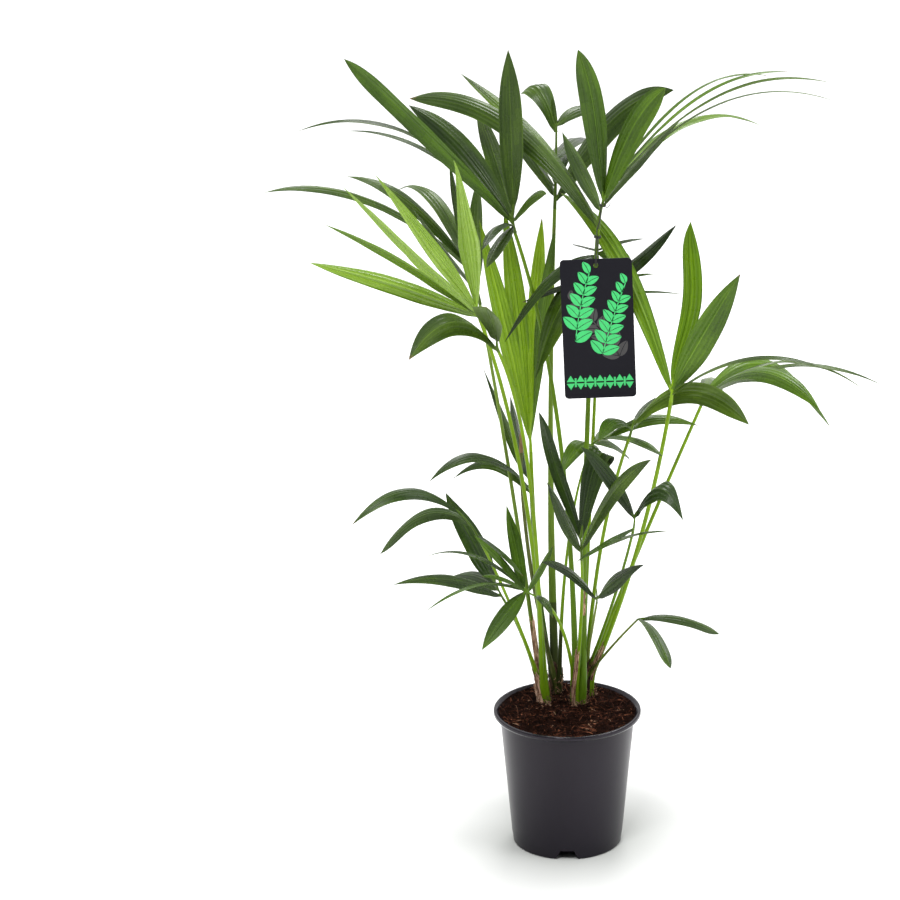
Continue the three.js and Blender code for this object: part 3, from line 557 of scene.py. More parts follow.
# Places across a leaflet, from one edge to the other. The middle strip is the midrib.
ACROSS = np.array(
    [-1, -0.965, -0.87, -0.76, -0.66, -0.635, -0.53, -0.42, -0.33, -0.305, -0.21, -0.11, -0.035,
     0.035, 0.11, 0.21, 0.305, 0.33, 0.42, 0.53, 0.635, 0.66, 0.76, 0.87, 0.965, 1]
)
MIDDLE, PALE_LINES, ALONG_STEPS, RIB_STEPS = 12, (4, 8, 16, 20), 34, 9
# The breadth of a leaflet that has LEAF_VEINS veins, in millimetres.
VEINS_WIDTH = 28
# The strips beside the two edges, and how much of the edge tone each has. That tone is painted light:
# a pale painted sheen along the edges of the dark kinds, painted shade along those of the lighter kinds.
EDGE_SHEEN_AND_SHADE_STRIPS = ((0, 1), (1, 0.5), (-2, 0.5), (-1, 1))


def blade_share(t, widest, tip_power, slow):
    """How broad a blade is along its length, as a share of its greatest breadth."""
    rise = BLADE_ROOT_SHARE + (1 - BLADE_ROOT_SHARE) * np.sin(np.pi / 2 * np.minimum(t / widest, 1)) ** slow
    fall = np.clip((t - widest) / (1 - widest), 0, 1)
    return np.where(t < widest, rise, np.cos(np.pi / 2 * fall ** tip_power))


def swell(t, reach):
    """A bulge at the foot that fades out along the blade."""
    return np.exp(-(t / reach) ** 2)


def leaflet(build, root, reach, bow, width, twist_deg, chance, look, tone, full, slow, bent, dry):
    """One leaflet: a thin blade, tented along its midrib and pleated along its veins."""
    pleat, streaks, edge_sheen_and_shade, patches = look
    tip = root + reach
    control = (root + tip) / 2 + UP * 2 * bow
    even = np.linspace(0, 1, ALONG_STEPS)
    t = 0.55 * even + 0.45 * (0.5 - 0.5 * np.cos(np.pi * even))
    centre = bezier(root, control, tip, t)
    along = unit(bezier_slope(root, control, tip, t))
    length = float(np.sum(np.linalg.norm(np.diff(centre, axis=0), axis=1)))
    chord = unit(reach)
    twist = math.radians(-twist_deg if reach[0] > 0 else twist_deg)
    side = turned(unit(np.cross(chord, BLADE_FACE)), chord, twist)
    across = unit(side - along * np.sum(side * along, axis=1, keepdims=True))
    # a slow turn of the blade about its own midrib, and a slight sway to one side
    turn = math.radians(chance.uniform(-16, 16)) * np.sin(np.pi * t * chance.uniform(0.6, 1.1)) * t
    across = turned(across, along, turn)
    face = np.cross(across, along)
    sway = length * (chance.uniform(-0.011, 0.011) + bent)
    centre = centre + across * (sway * np.sin(np.pi * t) ** 2)[:, None]

    # the breadth, narrow at the joint; then the tent, the pleats and the raised midrib and veins
    widest = BLADE_WIDEST_AT + chance.uniform(-0.06, 0.05) + 0.2 * full
    share = blade_share(t, widest, BLADE_TIP_POWER + chance.uniform(-0.25, 0.35) + 1.4 * full, slow)
    share = share * (1 - 0.45 * swell(t, 0.035))
    half = width * share / 2
    fold = 1.35 * BLADE_FOLD_SHARE * width * share * (1 + 1.2 * swell(t, 0.09) - 0.3 * t)
    v = ACROSS[None, :]
    lift = -fold[:, None] * np.abs(v) ** 1.12
    phase = chance.uniform(-0.3, 0.3)
    grooves = np.cos(2 * np.pi * (2.6 * np.abs(v) + phase)) * (1 - np.abs(v) ** 4) * (np.abs(v) > 0.1)
    lift = lift + pleat * half[:, None] * grooves
    lift[:, MIDDLE:MIDDLE + 2] += (0.14 + 0.018 * half)[:, None]
    lift[:, [MIDDLE - 1, MIDDLE + 2]] += 0.03
    for line in PALE_LINES:
        lift[:, line:line + 2] += (0.012 * half)[:, None]
    # the edges wave a little
    seeds = [chance.uniform(0, 90) for _ in range(3)]
    waves = [[rough_at(t_k * length * 0.022, edge * 9.1, seeds[edge]) for t_k in t] for edge in (0, 1)]
    for column, strength in enumerate(np.abs(ACROSS) ** 2.5):
        lift[:, column] += strength * np.array(waves[0 if ACROSS[column] < 0 else 1]) * (0.13 * half)
    thick = (0.20 + 0.012 * half)[:, None] * (1 - 0.55 * np.abs(v) ** 2)
    flat = centre[:, None, :] + across[:, None, :] * (half[:, None] * v)[..., None]
    upper = flat + face[:, None, :] * (lift + thick)[..., None]
    lower = flat + face[:, None, :] * (lift - thick)[..., None]

    # lengthwise streaks of neighbouring tints, fading softly from one to the next along the blade
    columns, rows = len(ACROSS), len(t)
    streak = [chance.uniform(-streaks, streaks) for _ in range(columns - 1)]
    # painted light along the edges: a pale sheen where the kind's edge tone is above 0, shade where it is below
    for column, strength in EDGE_SHEEN_AND_SHADE_STRIPS:
        streak[column] += strength * edge_sheen_and_shade
    streak[MIDDLE] += 2.4
    for line in PALE_LINES:
        streak[line] += chance.uniform(0.9, 2.0)
    fade, lean = chance.uniform(-3.2, 3.2), chance.uniform(-0.9, 0.9)
    dry_from = [1 - dry * chance.uniform(0.6, 1.5) for _ in range(columns)]
    stride, last = 2 * columns, 2 * columns * (rows - 1)
    faces, paint = [], []
    for k in range(rows - 1):
        a, b = k * stride, (k + 1) * stride
        for i in range(columns - 1):
            cloud = rough_at(t[k] * length * 0.02, ACROSS[i] * 1.3, seeds[2])
            shade = 2 * tone + streak[i] + fade * (t[k] - 0.45) + lean * ACROSS[i] + patches * cloud
            shade = int(min(TONES - 1, max(0, round(shade))))
            dried = dry and t[k] > dry_from[i]
            faces.append((a + i, a + i + 1, b + i + 1, b + i))
            paint.append(DRY if dried else 2 * shade)
            faces.append((a + columns + i + 1, a + columns + i, b + columns + i, b + columns + i + 1))
            paint.append(DRY if dried else MIDRIB if i == MIDDLE else 2 * shade + 1)
        faces.append((a, b, b + columns, a + columns))
        faces.append((a + columns - 1, a + stride - 1, b + stride - 1, b + columns - 1))
        paint += [DRY if dried else MIDRIB] * 2
    for i in range(columns - 1):
        faces.append((i, columns + i, columns + i + 1, i + 1))
        faces.append((last + i, last + i + 1, last + columns + i + 1, last + columns + i))
        paint += [MIDRIB, DRY if dry else MIDRIB]
    u = 0.5 + 0.5 * ACROSS[None, :] * (width / VEINS_WIDTH) * np.ones((rows, 1))
    grain = np.stack([u, np.repeat((t * length * GRAIN_SCALE)[:, None], columns, axis=1)], axis=-1)
    build.add(np.concatenate([upper, lower], axis=1), faces, paint, np.concatenate([grain, grain], axis=1))

    # the short swollen joint that carries the leaflet
    steps = np.linspace(0, min(0.5, 9 / length), 5)
    joint = bezier(root, control, tip, steps) - unit(face[0]) * 0.5
    tube(build, joint, (0.55 + 0.035 * width) * np.array([1.25, 1.15, 0.9, 0.55, 0.15]), 8, MIDRIB)


# Each kind's pleats, as a share of the half breadth, and in tones how far its streaks, edges and patches
# differ. The edge tones are painted light: above 0 a pale painted sheen, below 0 painted shade.
LOOKS = {
    "dark": (0.024, 0.5, 2.2, 2.6), "deep": (0.034, 0.6, 1.4, 2.6), "green": (0.034, 0.6, -0.6, 2.2),
    "lime": (0.075, 1.1, -2.2, 1.6), "pale": (0.08, 1.5, -1.6, 1.2),
}
SLOTS = {
    "dark": "leaf_dark", "deep": "leaf_dark", "green": "leaf_green", "lime": "leaf_lime", "pale": "leaf_lime",
}
# The leaflets that differ from their fronds, by place: kind and freshness.
DIFFERENT = {
    "crown_left": {0: ("green", 0.5), 6: ("deep", 2.4)}, "crown_middle": {2: ("deep", 2.6), 4: ("dark", 3.0)},
    "crown_right": {
        2: ("green", 1.6), 4: ("green", 1.6), 5: ("green", 2.0), 6: ("green", 2.2), 7: ("deep", 3.0),
        8: ("deep", 2.6), 9: ("pale", 0.2),
    },
    "crown_back": {3: ("green", 2.2), 6: ("green", 1.0)}, "left_bent": {0: ("dark", 2.0), 1: ("dark", 2.8)},
    "left_lime": {3: ("pale", 1.2), 4: ("pale", 2.4), 5: ("pale", 2.7)},
    "middle_lime": {1: ("lime", 2.2), 3: ("green", 2.7)}, "left_low": {2: ("deep", 1.2)},
    "left_low_back": {2: ("deep", 0.9)}, "centre_dark": {2: ("dark", 0.6), 3: ("dark", 1.8)},
    "front_low": {5: ("green", 1.2), 6: ("deep", 1.2)}, "right_small": {0: ("green", 2.2)},
    "right_middle": {0: ("dark", 2.4)}, "right_long": {2: ("green", 2.8), 3: ("green", 2.2)},
    "right_lime": {0: ("lime", 0.8), 1: ("lime", 1.2), 2: ("green", 1.7), 3: ("dark", 2.2)},
    "right_low": {0: ("deep", 0.5), 1: ("deep", 1.8)},
}
# Leaflets of another outline: above 0, they stay broad nearly to the tip; below 0, they are broad near the foot.
FULL = {
    "crown_left": {0: 0.85}, "crown_middle": {0: 0.9, 2: 1.0}, "left_low": {1: 0.9},
    "left_bent": {0: 0.2, 1: 1.1}, "left_lime": {0: -0.5, 5: -0.7}, "right_long": {3: 0.5},
    "right_two_lobed": {0: 0.8, 1: 0.8}, "right_low": {1: -0.3}, "crown_right": {0: 0.7, 2: 0.05},
    "right_middle": {0: 0.6}, "centre_dark": {2: 0.7}, "left_low_back": {0: -0.7}, "left_dark": {0: -0.6},
    "small_two_lobed": {1: -0.5}, "right_lime": {1: 0.3},
}
# Fronds whose leaflets stay slim for longer above the foot, by the power of their breadth's rise.
SLOW = {"middle_lime": 1.8, "left_lime": 1.2}
# Leaflets that curve sideways, as a share of their length, and those broader or narrower than their solids.
BENT = {
    "right_lime": {1: 0.06}, "crown_right": {2: 0.02}, "left_low_back": {2: 0.02}, "centre_dark": {0: -0.02},
}
BROADER = {
    "crown_back": {0: 1.7, 1: 1.4, 8: 1.35}, "right_lime": {0: 1.2}, "crown_left": {0: 0.95},
    "left_lime": {5: 1.2}, "crown_right": {5: 0.85, 6: 0.85, 7: 0.75, 8: 0.55},
}


def differing(table, name, place, usual):
    """What a table of leaflets says of one, or else what is usual."""
    return table.get(name, {}).get(place, usual)


def make_fronds():
    builds = {kind: Build(f"leaflets_{kind}", leaf_materials(kind)) for kind in SLOTS}
    owned = {kind: [] for kind in SLOTS}

    def owner(kind, name):
        if "frond_" + name not in owned[kind]:
            owned[kind].append("frond_" + name)
        return builds[kind]

    for order, (name, frond) in enumerate(FRONDS.items()):
        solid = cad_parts["frond_" + name]
        corners = np.array([v.co[:] for v in solid.data.vertices]) / MM
        rib = rib_points(frond)
        t = np.linspace(0, 1, RIB_STEPS)
        tail = rib[2] + unit(rib[2] - rib[1]) * np.array([[1.2], [2.6], [4.2]])
        radii = frond.girth[1] * (1 + (RIB_TAPER - 1) * t)
        radii = np.concatenate([radii, radii[-1] * np.array([0.85, 0.55, 0.12])])
        centres = np.concatenate([bezier(*rib, t), tail])
        tube(owner(frond.kind, name), centres, radii, 12, MIDRIB, rough=0.06, seed=order)
        for place, (share, *reach, bow, width, twist) in enumerate(frond.leaflets):
            chance = random.Random(f"{name}{place}")
            root = bezier(*rib, [share])[0]
            reach = chosen_reach(root, reach, corners)
            if reach is None:
                print("leaflet left out:", name, place)
                continue
            kind, fresh = differing(DIFFERENT, name, place, (frond.kind, frond.fresh))
            tone = fresh + chance.uniform(-0.7, 0.7)
            dry = chance.choice((0, 0, 0, 0.015, 0.03))
            width *= differing(BROADER, name, place, 1)
            full, bent = differing(FULL, name, place, 0), differing(BENT, name, place, 0)
            shape = full, SLOW.get(name, 1), bent
            leaflet(owner(kind, name), root, reach, bow, width, twist, chance, LOOKS[kind], tone, *shape, dry)
    for kind, slot in SLOTS.items():
        builds[kind].done(slot, owned[kind])


# ---------------------------------------------------------------- stalks and stems

# The stalks' skins: name, colour low down and high up, and where these aren't the usual ones, roughness and
# speckle.
STALK_SKINS = [
    ("stalk_grey_green", (0.048, 0.090, 0.004), (0.170, 0.265, 0.035)),
    ("stalk_green", (0.045, 0.095, 0.004), (0.062, 0.125, 0.007)),
    ("stalk_fresh_green", (0.075, 0.150, 0.004), (0.115, 0.215, 0.006)),
    ("stalk_lime", (0.130, 0.240, 0.004), (0.175, 0.300, 0.006), 0.42),
    ("stalk_straw", (0.115, 0.155, 0.022), (0.150, 0.200, 0.040)),
    ("stalk_back_foot", (0.034, 0.044, 0.009), (0.040, 0.080, 0.006), 0.5, 0.35),
]
GREY, GREEN, FRESH, LIME, STRAW, BACK_FOOT = range(len(STALK_SKINS))
# The stalks that aren't lime.
STALK_TINTS = {
    "crown_middle": GREY, "left_upper": GREY, "left_dark": GREEN, "crown_left": FRESH, "crown_right": FRESH,
    "left_low_back": FRESH, "right_low": FRESH, "small_two_lobed": STRAW, "right_two_lobed": STRAW,
}
BASE_STEPS, STALK_STEPS, CUT_STALK_STEPS, CUT_END_ROWS, BACK_FOOT_ROWS = 16, 46, 44, 5, 6
BASE_FOOT_SHARE, BASE_BEND = 0.5, 0.42
BASE_RADII = {"left": 4.2, "back": 4.9, "centre": 5.6, "right": 4.0}
# How much stouter some stalks are at the foot, as a share of their radius.
STOUT_FEET = {"crown_middle": 0.45, "left_dark": 0.3, "right_small": 0.2}


def base_line(frond):
    """From the soil up to the seat: the stalk's sheathing base, which closes in on its neighbours."""
    stem = STEMS[frond.stem]
    foot, waist, _ = stalk_points(frond)
    ground = stem_ends(stem)[0] + level(frond.seat, BASE_FOOT_SHARE * stem.seat)
    bend = foot - unit(waist - foot) * np.linalg.norm(foot - ground) * BASE_BEND
    return bezier(ground, bend, foot, np.linspace(0, 1, BASE_STEPS))


def limb(name):
    """A frond's stalk with its clasping base: its centres from the soil to the rib, and its radii."""
    frond = FRONDS[name]
    foot_radius, top_radius = frond.girth
    stout = STOUT_FEET.get(name, 0)
    # the base swells into a clasping sheath towards the soil, and the stalk is stouter just above it
    down = np.linspace(1, 0, BASE_STEPS)[:-1]
    high = (1.12 + stout) * foot_radius
    low_radii = high + (BASE_RADII[frond.stem] - high) * down ** 0.7
    t = np.linspace(0, 1, STALK_STEPS)
    radii = foot_radius + (top_radius - foot_radius) * t
    radii = radii * (1 + 0.12 * swell(t, 0.16) + stout * swell(t, 0.45))
    centres = np.concatenate([base_line(frond)[:-1], bezier(*stalk_points(frond), t)])
    return centres, np.concatenate([low_radii, radii])


def make_stalks():
    build = Build("stalks", [stalk_material(*skin_of) for skin_of in STALK_SKINS])
    for order, (name, frond) in enumerate(FRONDS.items()):
        paint = STALK_TINTS.get(name, LIME)
        if frond.stem == "back":
            foot_rows = BASE_STEPS - 1 + BACK_FOOT_ROWS
            paint = [BACK_FOOT] * foot_rows + [paint] * (STALK_STEPS - BACK_FOOT_ROWS - 1)
        groove = np.concatenate([np.linspace(0, 0.18, BASE_STEPS - 1), np.full(STALK_STEPS, 0.30)])
        tube(build, *limb(name), 16, paint, groove, rough=0.05, seed=order)
    build.done("stem_green", ["stalk_" + n for n in FRONDS] + ["stem_" + n for n in STEMS])


def whisker(build, start, reach, bend, radii, paint):
    """A thin fibre from a point, bowed on its way."""
    steps = np.linspace(0, 1, len(radii))[:, None]
    tube(build, start + reach * steps + bend * (steps * (1 - steps)), radii, 4, paint)


def jitter(chance, most):
    return np.array([chance.uniform(-most, most) for _ in range(3)])


def make_cut_stalk():
    build = Build("cut_stalk", [
        dry_material("cut_stalk_skin", (0.040, 0.060, 0.009), (0.120, 0.135, 0.028), 0.6),
        dry_material("cut_stalk_end", (0.10, 0.05, 0.025), (0.30, 0.19, 0.10)),
    ])
    foot, waist, top = stalk_points(CUT_STALK)
    t = np.linspace(0, 1, CUT_STALK_STEPS)
    centres = np.concatenate([base_line(CUT_STALK)[:-1], bezier(foot, waist, top, t)])
    foot_radius, top_radius = CUT_STALK.girth
    low_radii = foot_radius + np.linspace(1, 0, BASE_STEPS)[:-1]
    radii = np.concatenate([low_radii, foot_radius + (top_radius - foot_radius) * t])
    radii[-4:] *= np.array([1.02, 1.06, 1.0, 0.72])
    paint = [0] * (len(radii) - CUT_END_ROWS) + [1] * CUT_END_ROWS
    tube(build, centres, radii, 14, paint, np.full(len(radii), 0.35), rough=0.22, seed=71)
    # torn fibres stand out of the cut
    chance = random.Random("cut")
    for number in range(7):
        angle = 2 * math.pi * number / 7
        start = top + np.array([1.1 * math.cos(angle), 1.1 * math.sin(angle), -2])
        reach = np.array([chance.uniform(-1, 1), chance.uniform(-1, 1), chance.uniform(3, 6)])
        whisker(build, start, reach, 0, [0.45, 0.4, 0.25, 0.06], 1)
    build.done("sheath_fibre", ["stalk_cut_short"])


# ---------------------------------------------------------------- dry sheaths

BROWN, TAN, DARK = range(3)
# Each dry strip: the frond whose limb it clings to, where it faces at foot and top, in degrees, its foot above
# the mix, its length, its width at foot and top, how far it stands off at foot and top, how ragged its end is,
# and its material.
DRY_STRIPS = [
    ("left_low", 208, 222, -8, 62, 24, 8, 3.0, 0.9, 0.45, TAN),
    ("left_low_back", 195, 212, -8, 44, 16, 7, 3.4, 2.2, 0.5, TAN),
    ("left_low", 250, 262, -8, 34, 9, 5, 1.6, 0.8, 0.5, BROWN),
    ("left_upper", 270, 285, 6, 106, 8, 5, 1.6, 0.6, 0.25, TAN),
    ("left_lime", 60, 60, -8, 44, 12, 8, 1.0, 0.5, 0.4, BROWN),
    ("crown_middle", 250, 265, -8, 62, 10, 5, 1.0, 0.4, 0.5, DARK),
    ("crown_middle", 300, 300, -8, 34, 9, 5, 1.6, 0.8, 0.6, BROWN),
    ("left_dark", 225, 235, -8, 40, 9, 5, 1.4, 0.6, 0.5, DARK),
    ("right_small", 80, 80, -8, 52, 10, 7, 0.8, 0.5, 0.4, BROWN),
    ("centre_dark", 222, 236, -8, 98, 7, 4.6, 0.9, 0.5, 0.2, TAN),
    ("crown_left", 215, 225, -8, 44, 8, 4, 0.6, 0.5, 0.5, DARK),
    ("crown_right", 262, 262, 122, 40, 4.8, 3.2, 0.4, 0.5, 0.35, TAN),
    ("crown_back", 70, 70, -8, 62, 12, 7, 0.8, 0.5, 0.4, BROWN),
    ("right_lime", 232, 238, 20, 62, 8, 5, 1.2, 0.6, 0.35, TAN),
    ("right_low", 232, 236, 14, 56, 6.5, 4.5, 0.8, 0.6, 0.45, BROWN),
    ("right_long", 250, 250, 4, 52, 6, 4.4, 0.6, 0.5, 0.5, DARK),
    ("right_low", 285, 285, -8, 26, 8, 5, 0.7, 0.5, 0.5, DARK),
    ("right_middle", 100, 100, -8, 46, 10, 6, 0.8, 0.6, 0.4, BROWN),
]
STRIP_COLUMNS, STRIP_ROWS, STRIP_FIBRES, MAT_FIBRES = 13, 34, 14, 150


def strip_points(order, strip):
    """A strip's outer and inner points, row by row from its foot, and the way its limb runs at its tip."""
    name, low_facing, top_facing, up, length, low_width, top_width, low_off, top_off, ragged, _ = strip
    centres, radii = limb(name)
    slopes = unit(np.gradient(centres, axis=0))
    outer, inner = [], []
    for k in range(STRIP_ROWS):
        h = k / (STRIP_ROWS - 1)
        for i in range(STRIP_COLUMNS):
            a = i / (STRIP_COLUMNS - 1)
            worn = 1 - ragged * (0.45 + 0.9 * rough_at(a * 5, order * 5.7, 0.3))
            worn -= 0.5 * ragged * abs(rough_at(a * 21, order * 2.1, 4.0))
            s = min(1.0, max(0.3, worn)) * h
            z = MIX_MIDDLE_HEIGHT + up + length * s
            middle = np.array([np.interp(z, centres[:, 2], column) for column in centres.T])
            axis = unit(np.array([np.interp(z, centres[:, 2], column) for column in slopes.T]))
            first = unit(np.array([1.0, 0, 0]) - axis * axis[0])
            second = np.cross(axis, first)
            radius = float(np.interp(z, centres[:, 2], radii)) + low_off * (1 - s) ** 1.5 + top_off * s
            radius += 0.5 * rough_at(a * 4 + order, h * 5, 1.7) + 0.2 * math.sin(a * 30 + order)
            width = low_width + (top_width - low_width) * s ** 0.8
            facing = low_facing + (top_facing - low_facing) * s ** 0.7
            angle = math.radians(facing + 7 * rough_at(order * 3.1, h * 2.5, 0.0))
            angle += (a - 0.5) * width / radius
            curl = 0.7 * (2 * a - 1) ** 2 * (0.3 + s)
            way = first * math.cos(angle) + second * math.sin(angle)
            outer.append(middle + way * (radius + curl + 0.2))
            inner.append(middle + way * (radius + curl - 0.2))
    return outer, inner, axis


def make_strip(build, order, strip):
    paint = strip[-1]
    chance = random.Random(f"sheath{order}")
    outer, inner, axis = strip_points(order, strip)
    size, last = len(outer), len(outer) - STRIP_COLUMNS
    worn_paint = BROWN if paint == TAN else DARK
    stripes = [chance.choice((paint, paint, paint, BROWN, worn_paint)) for _ in range(STRIP_COLUMNS)]
    faces, paints = [], []
    for k in range(STRIP_ROWS - 1):
        low, high = k * STRIP_COLUMNS, (k + 1) * STRIP_COLUMNS
        for i in range(STRIP_COLUMNS - 1):
            a, b = low + i, high + i
            faces.append((a, a + 1, b + 1, b))
            faces.append((size + a + 1, size + a, size + b, size + b + 1))
            worn = rough_at(i * 0.5, k * 0.16, order * 1.3) > 0.22
            paints += [worn_paint if worn else stripes[i]] * 2
        faces.append((low, high, size + high, size + low))
        a, b = high - 1, high + STRIP_COLUMNS - 1
        faces.append((b, a, size + a, size + b))
        paints += [paint] * 2
    for i in range(STRIP_COLUMNS - 1):
        faces.append((i + 1, i, size + i, size + i + 1))
        faces.append((last + i, last + i + 1, size + last + i + 1, size + last + i))
        paints += [paint] * 2
    build.add(outer + inner, faces, paints)
    # loose fibres at the frayed end and along the foot
    for _ in range(STRIP_FIBRES):
        column = chance.randrange(STRIP_COLUMNS)
        row = chance.choice((STRIP_ROWS - 1, STRIP_ROWS - 1, STRIP_ROWS - 4, STRIP_ROWS // 2, 6))
        start = outer[row * STRIP_COLUMNS + column] - axis * chance.uniform(1, 6)
        reach = axis * chance.uniform(2, 6) + jitter(chance, 1.6)
        whisker(build, start, reach, jitter(chance, 1) * 4, [0.24, 0.22, 0.18, 0.12, 0.05], paint)


def make_mat(build):
    """A mat of dark fibre that wraps the foot of each stem."""
    chance = random.Random("mat")
    for name, stem in STEMS.items():
        low, high = stem_ends(stem)
        axis = unit(high - low)
        highest = 34 if name == "back" else 16
        for _ in range(MAT_FIBRES):
            angle = chance.uniform(0, 2 * math.pi)
            way = np.array([math.cos(angle), math.sin(angle), 0])
            rise = STEM_SINK + chance.uniform(-3, highest) * chance.random() ** 0.6
            radius = stem.seat * (BASE_FOOT_SHARE + 0.1) + BASE_RADII[name] + chance.uniform(-0.6, 1.2)
            turn = np.array([-way[1], way[0], 0]) * chance.uniform(-7, 7)
            reach = turn + axis * chance.uniform(-9, 5) + way * chance.uniform(-0.5, 2.5)
            bend = jitter(chance, 1) * 3
            radii = np.array([0.5, 0.9, 1, 1, 0.8, 0.3]) * chance.uniform(0.22, 0.5)
            paint = chance.choice((BROWN, DARK, DARK, BROWN, TAN))
            whisker(build, low + axis * rise + way * radius, reach, bend, radii, paint)


def make_sheaths():
    """Dry papery strips, the last of old leaf bases, that cling to the stems and fray at their ends."""
    build = Build("dry_sheaths", [
        dry_material("sheath_brown", (0.050, 0.020, 0.011), (0.34, 0.185, 0.112), scale=420),
        dry_material("sheath_tan", (0.17, 0.075, 0.045), (0.86, 0.58, 0.41), scale=420),
        dry_material("sheath_dark", (0.016, 0.009, 0.007), (0.140, 0.082, 0.052), scale=420),
    ])
    for order, strip in enumerate(DRY_STRIPS):
        make_strip(build, order, strip)
    make_mat(build)
    build.done("sheath_fibre", [*SHEATHS, *("stem_" + name for name in STEMS)])


# ---------------------------------------------------------------- potting mix

MIX_STEP_DEG, MIX_RINGS, FIBRES, CHIPS = 2.5, 64, 2300, 420
WALL_SLOPE = (POT_NECK_RADIUS - POT_FOOT_RADIUS) / (NECK_HEIGHT - POT_CORNER_RADIUS)


def wall_radius(z):
    """The outside of the pot's wall at a height."""
    return POT_FOOT_RADIUS + WALL_SLOPE * (z - POT_CORNER_RADIUS)


def mix_reach(z):
    """How far out the mix goes at a height."""
    return wall_radius(z) - POT_WALL - GAP


def mix_surface(x, y):
    """The height of the crumbly top, which heaps a little round the stems."""
    calm = min(1, (mix_reach(MIX_EDGE_HEIGHT) - math.hypot(x, y)) / 9 + 0.25)
    rough = 3.2 * rough_at(x * 0.055, y * 0.055, 2.0)
    rough += 1.7 * rough_at(x * 0.17, y * 0.17, 5.0)
    rough += 0.9 * rough_at(x * 0.52, y * 0.52, 9.0)
    return mix_height(x, y) + rough * calm


def mix_spread(share):
    """How far out the mix's top lies, for a share of its radius: its edge runs up against the flaring lip."""
    return share * (mix_reach(MIX_EDGE_HEIGHT) + 3.4 * share ** 8)


def circle(sides, radius=1):
    angles = [2 * math.pi * i / sides for i in range(sides)]
    return [(radius * math.cos(angle), radius * math.sin(angle)) for angle in angles]


def make_mix():
    mix = skin("coir_mix", {ROUGHNESS: 0.95, SHINE: 0.04})
    cloud = mix.cloud(170, detail=8, roughness=0.75)
    share = mix.spread(cloud, 0, 1, 0.42, 0.68)
    mix.feed({COLOUR: mix.blend(share, (0.0020, 0.0008, 0.0006), (0.034, 0.0115, 0.0062))})
    mix.bump(cloud, 1.0, 0.0016)
    build = Build("potting_mix_top", [mix.owner])
    sides = int(360 / MIX_STEP_DEG)
    points = [(0, 0, mix_surface(0, 0))]
    for share in np.linspace(0.02, 1, MIX_RINGS) ** 0.8:
        points += [(x, y, mix_surface(x, y)) for x, y in circle(sides, mix_spread(share))]
    bottom = FLOOR_TOP + GAP
    for radius, z in ((mix_reach(NECK_HEIGHT), NECK_HEIGHT - 2), (mix_reach(bottom), bottom)):
        points += [(x, y, z) for x, y in circle(sides, radius)]
    points.append((0, 0, bottom))
    build.add(points, flipped(lathe_faces(MIX_RINGS + 2, sides, len(points) - 1)), 0)
    build.done("potting_mix", ["potting_mix"], 60)


def wet(x, y):
    """Whether a spot of the mix lies in one of its darker, wetter clumps."""
    return rough_at(x * 0.045, y * 0.045, 3.0) + 0.5 * rough_at(x * 0.12, y * 0.12, 6.0) > 0.02


def dulled(paint, x, y):
    """The paint of a fibre or chip at a spot of the mix: one darker in the wet clumps."""
    return paint - 1 if paint and wet(x, y) else paint


def make_strand(build, number, chance, edge):
    """A curved strand that lies on the mix."""
    r = edge * math.sqrt(chance.random())
    a = chance.uniform(0, 2 * math.pi)
    spot = np.array([r * math.cos(a), r * math.sin(a)])
    heading = chance.uniform(0, 2 * math.pi)
    length = chance.choice((4, 6, 8, 11, 16, 24)) * chance.uniform(0.7, 1.2)
    curl = chance.uniform(-0.9, 0.9)
    width = chance.choice((0.22, 0.3, 0.4, 0.55, 0.8)) * chance.uniform(0.8, 1.2)
    rise = chance.uniform(-0.2, 1.0) + (chance.random() < 0.05) * chance.uniform(1, 3)
    paint = dulled(chance.choice((0, 0, 0, 0, 1, 1, 1, 2 if chance.random() < 0.7 else 3)), *spot)
    radii = width * np.array([0.5, 0.9, 1.0, 1.0, 0.8, 0.35])
    points, steps = [], len(radii) - 1
    for k in range(steps + 1):
        s = k / steps
        if math.hypot(*spot) > edge:
            spot *= edge / math.hypot(*spot)
        z = mix_surface(*spot) + 0.15 + rise * math.sin(math.pi * s) + 0.4 * math.sin(5 * s + number)
        points.append([*spot, z])
        heading += curl / steps
        spot = spot + length / steps * np.array([math.cos(heading), math.sin(heading)])
    tube(build, points, radii, 4, paint)


def make_chip(build, chance, edge):
    """A flat chip with an uneven outline, tipped a little."""
    r = edge * math.sqrt(chance.random()) * 0.98
    a = chance.uniform(0, 2 * math.pi)
    x, y = r * math.cos(a), r * math.sin(a)
    size = chance.uniform(1.0, 2.6)
    normal = unit(np.array([chance.uniform(-0.7, 0.7), chance.uniform(-0.7, 0.7), 1]))
    first = unit(np.cross(normal, [chance.uniform(-1, 1), chance.uniform(-1, 1), 0.1]))
    second = np.cross(normal, first)
    middle = np.array([x, y, mix_surface(x, y) + 0.5])
    ring = []
    for c, s in circle(6):
        reach = size * chance.uniform(0.6, 1.1)
        ring.append(middle + first * reach * c + second * reach * 0.55 * s)
    faces = [tuple(range(6)), tuple(range(11, 5, -1))]
    faces += [(i, 6 + i, 6 + (i + 1) % 6, (i + 1) % 6) for i in range(6)]
    points = [p + normal * 0.3 for p in ring] + [p - normal * 0.3 for p in ring]
    build.add(points, faces, dulled(chance.choice((0, 1, 1, 2)), x, y))


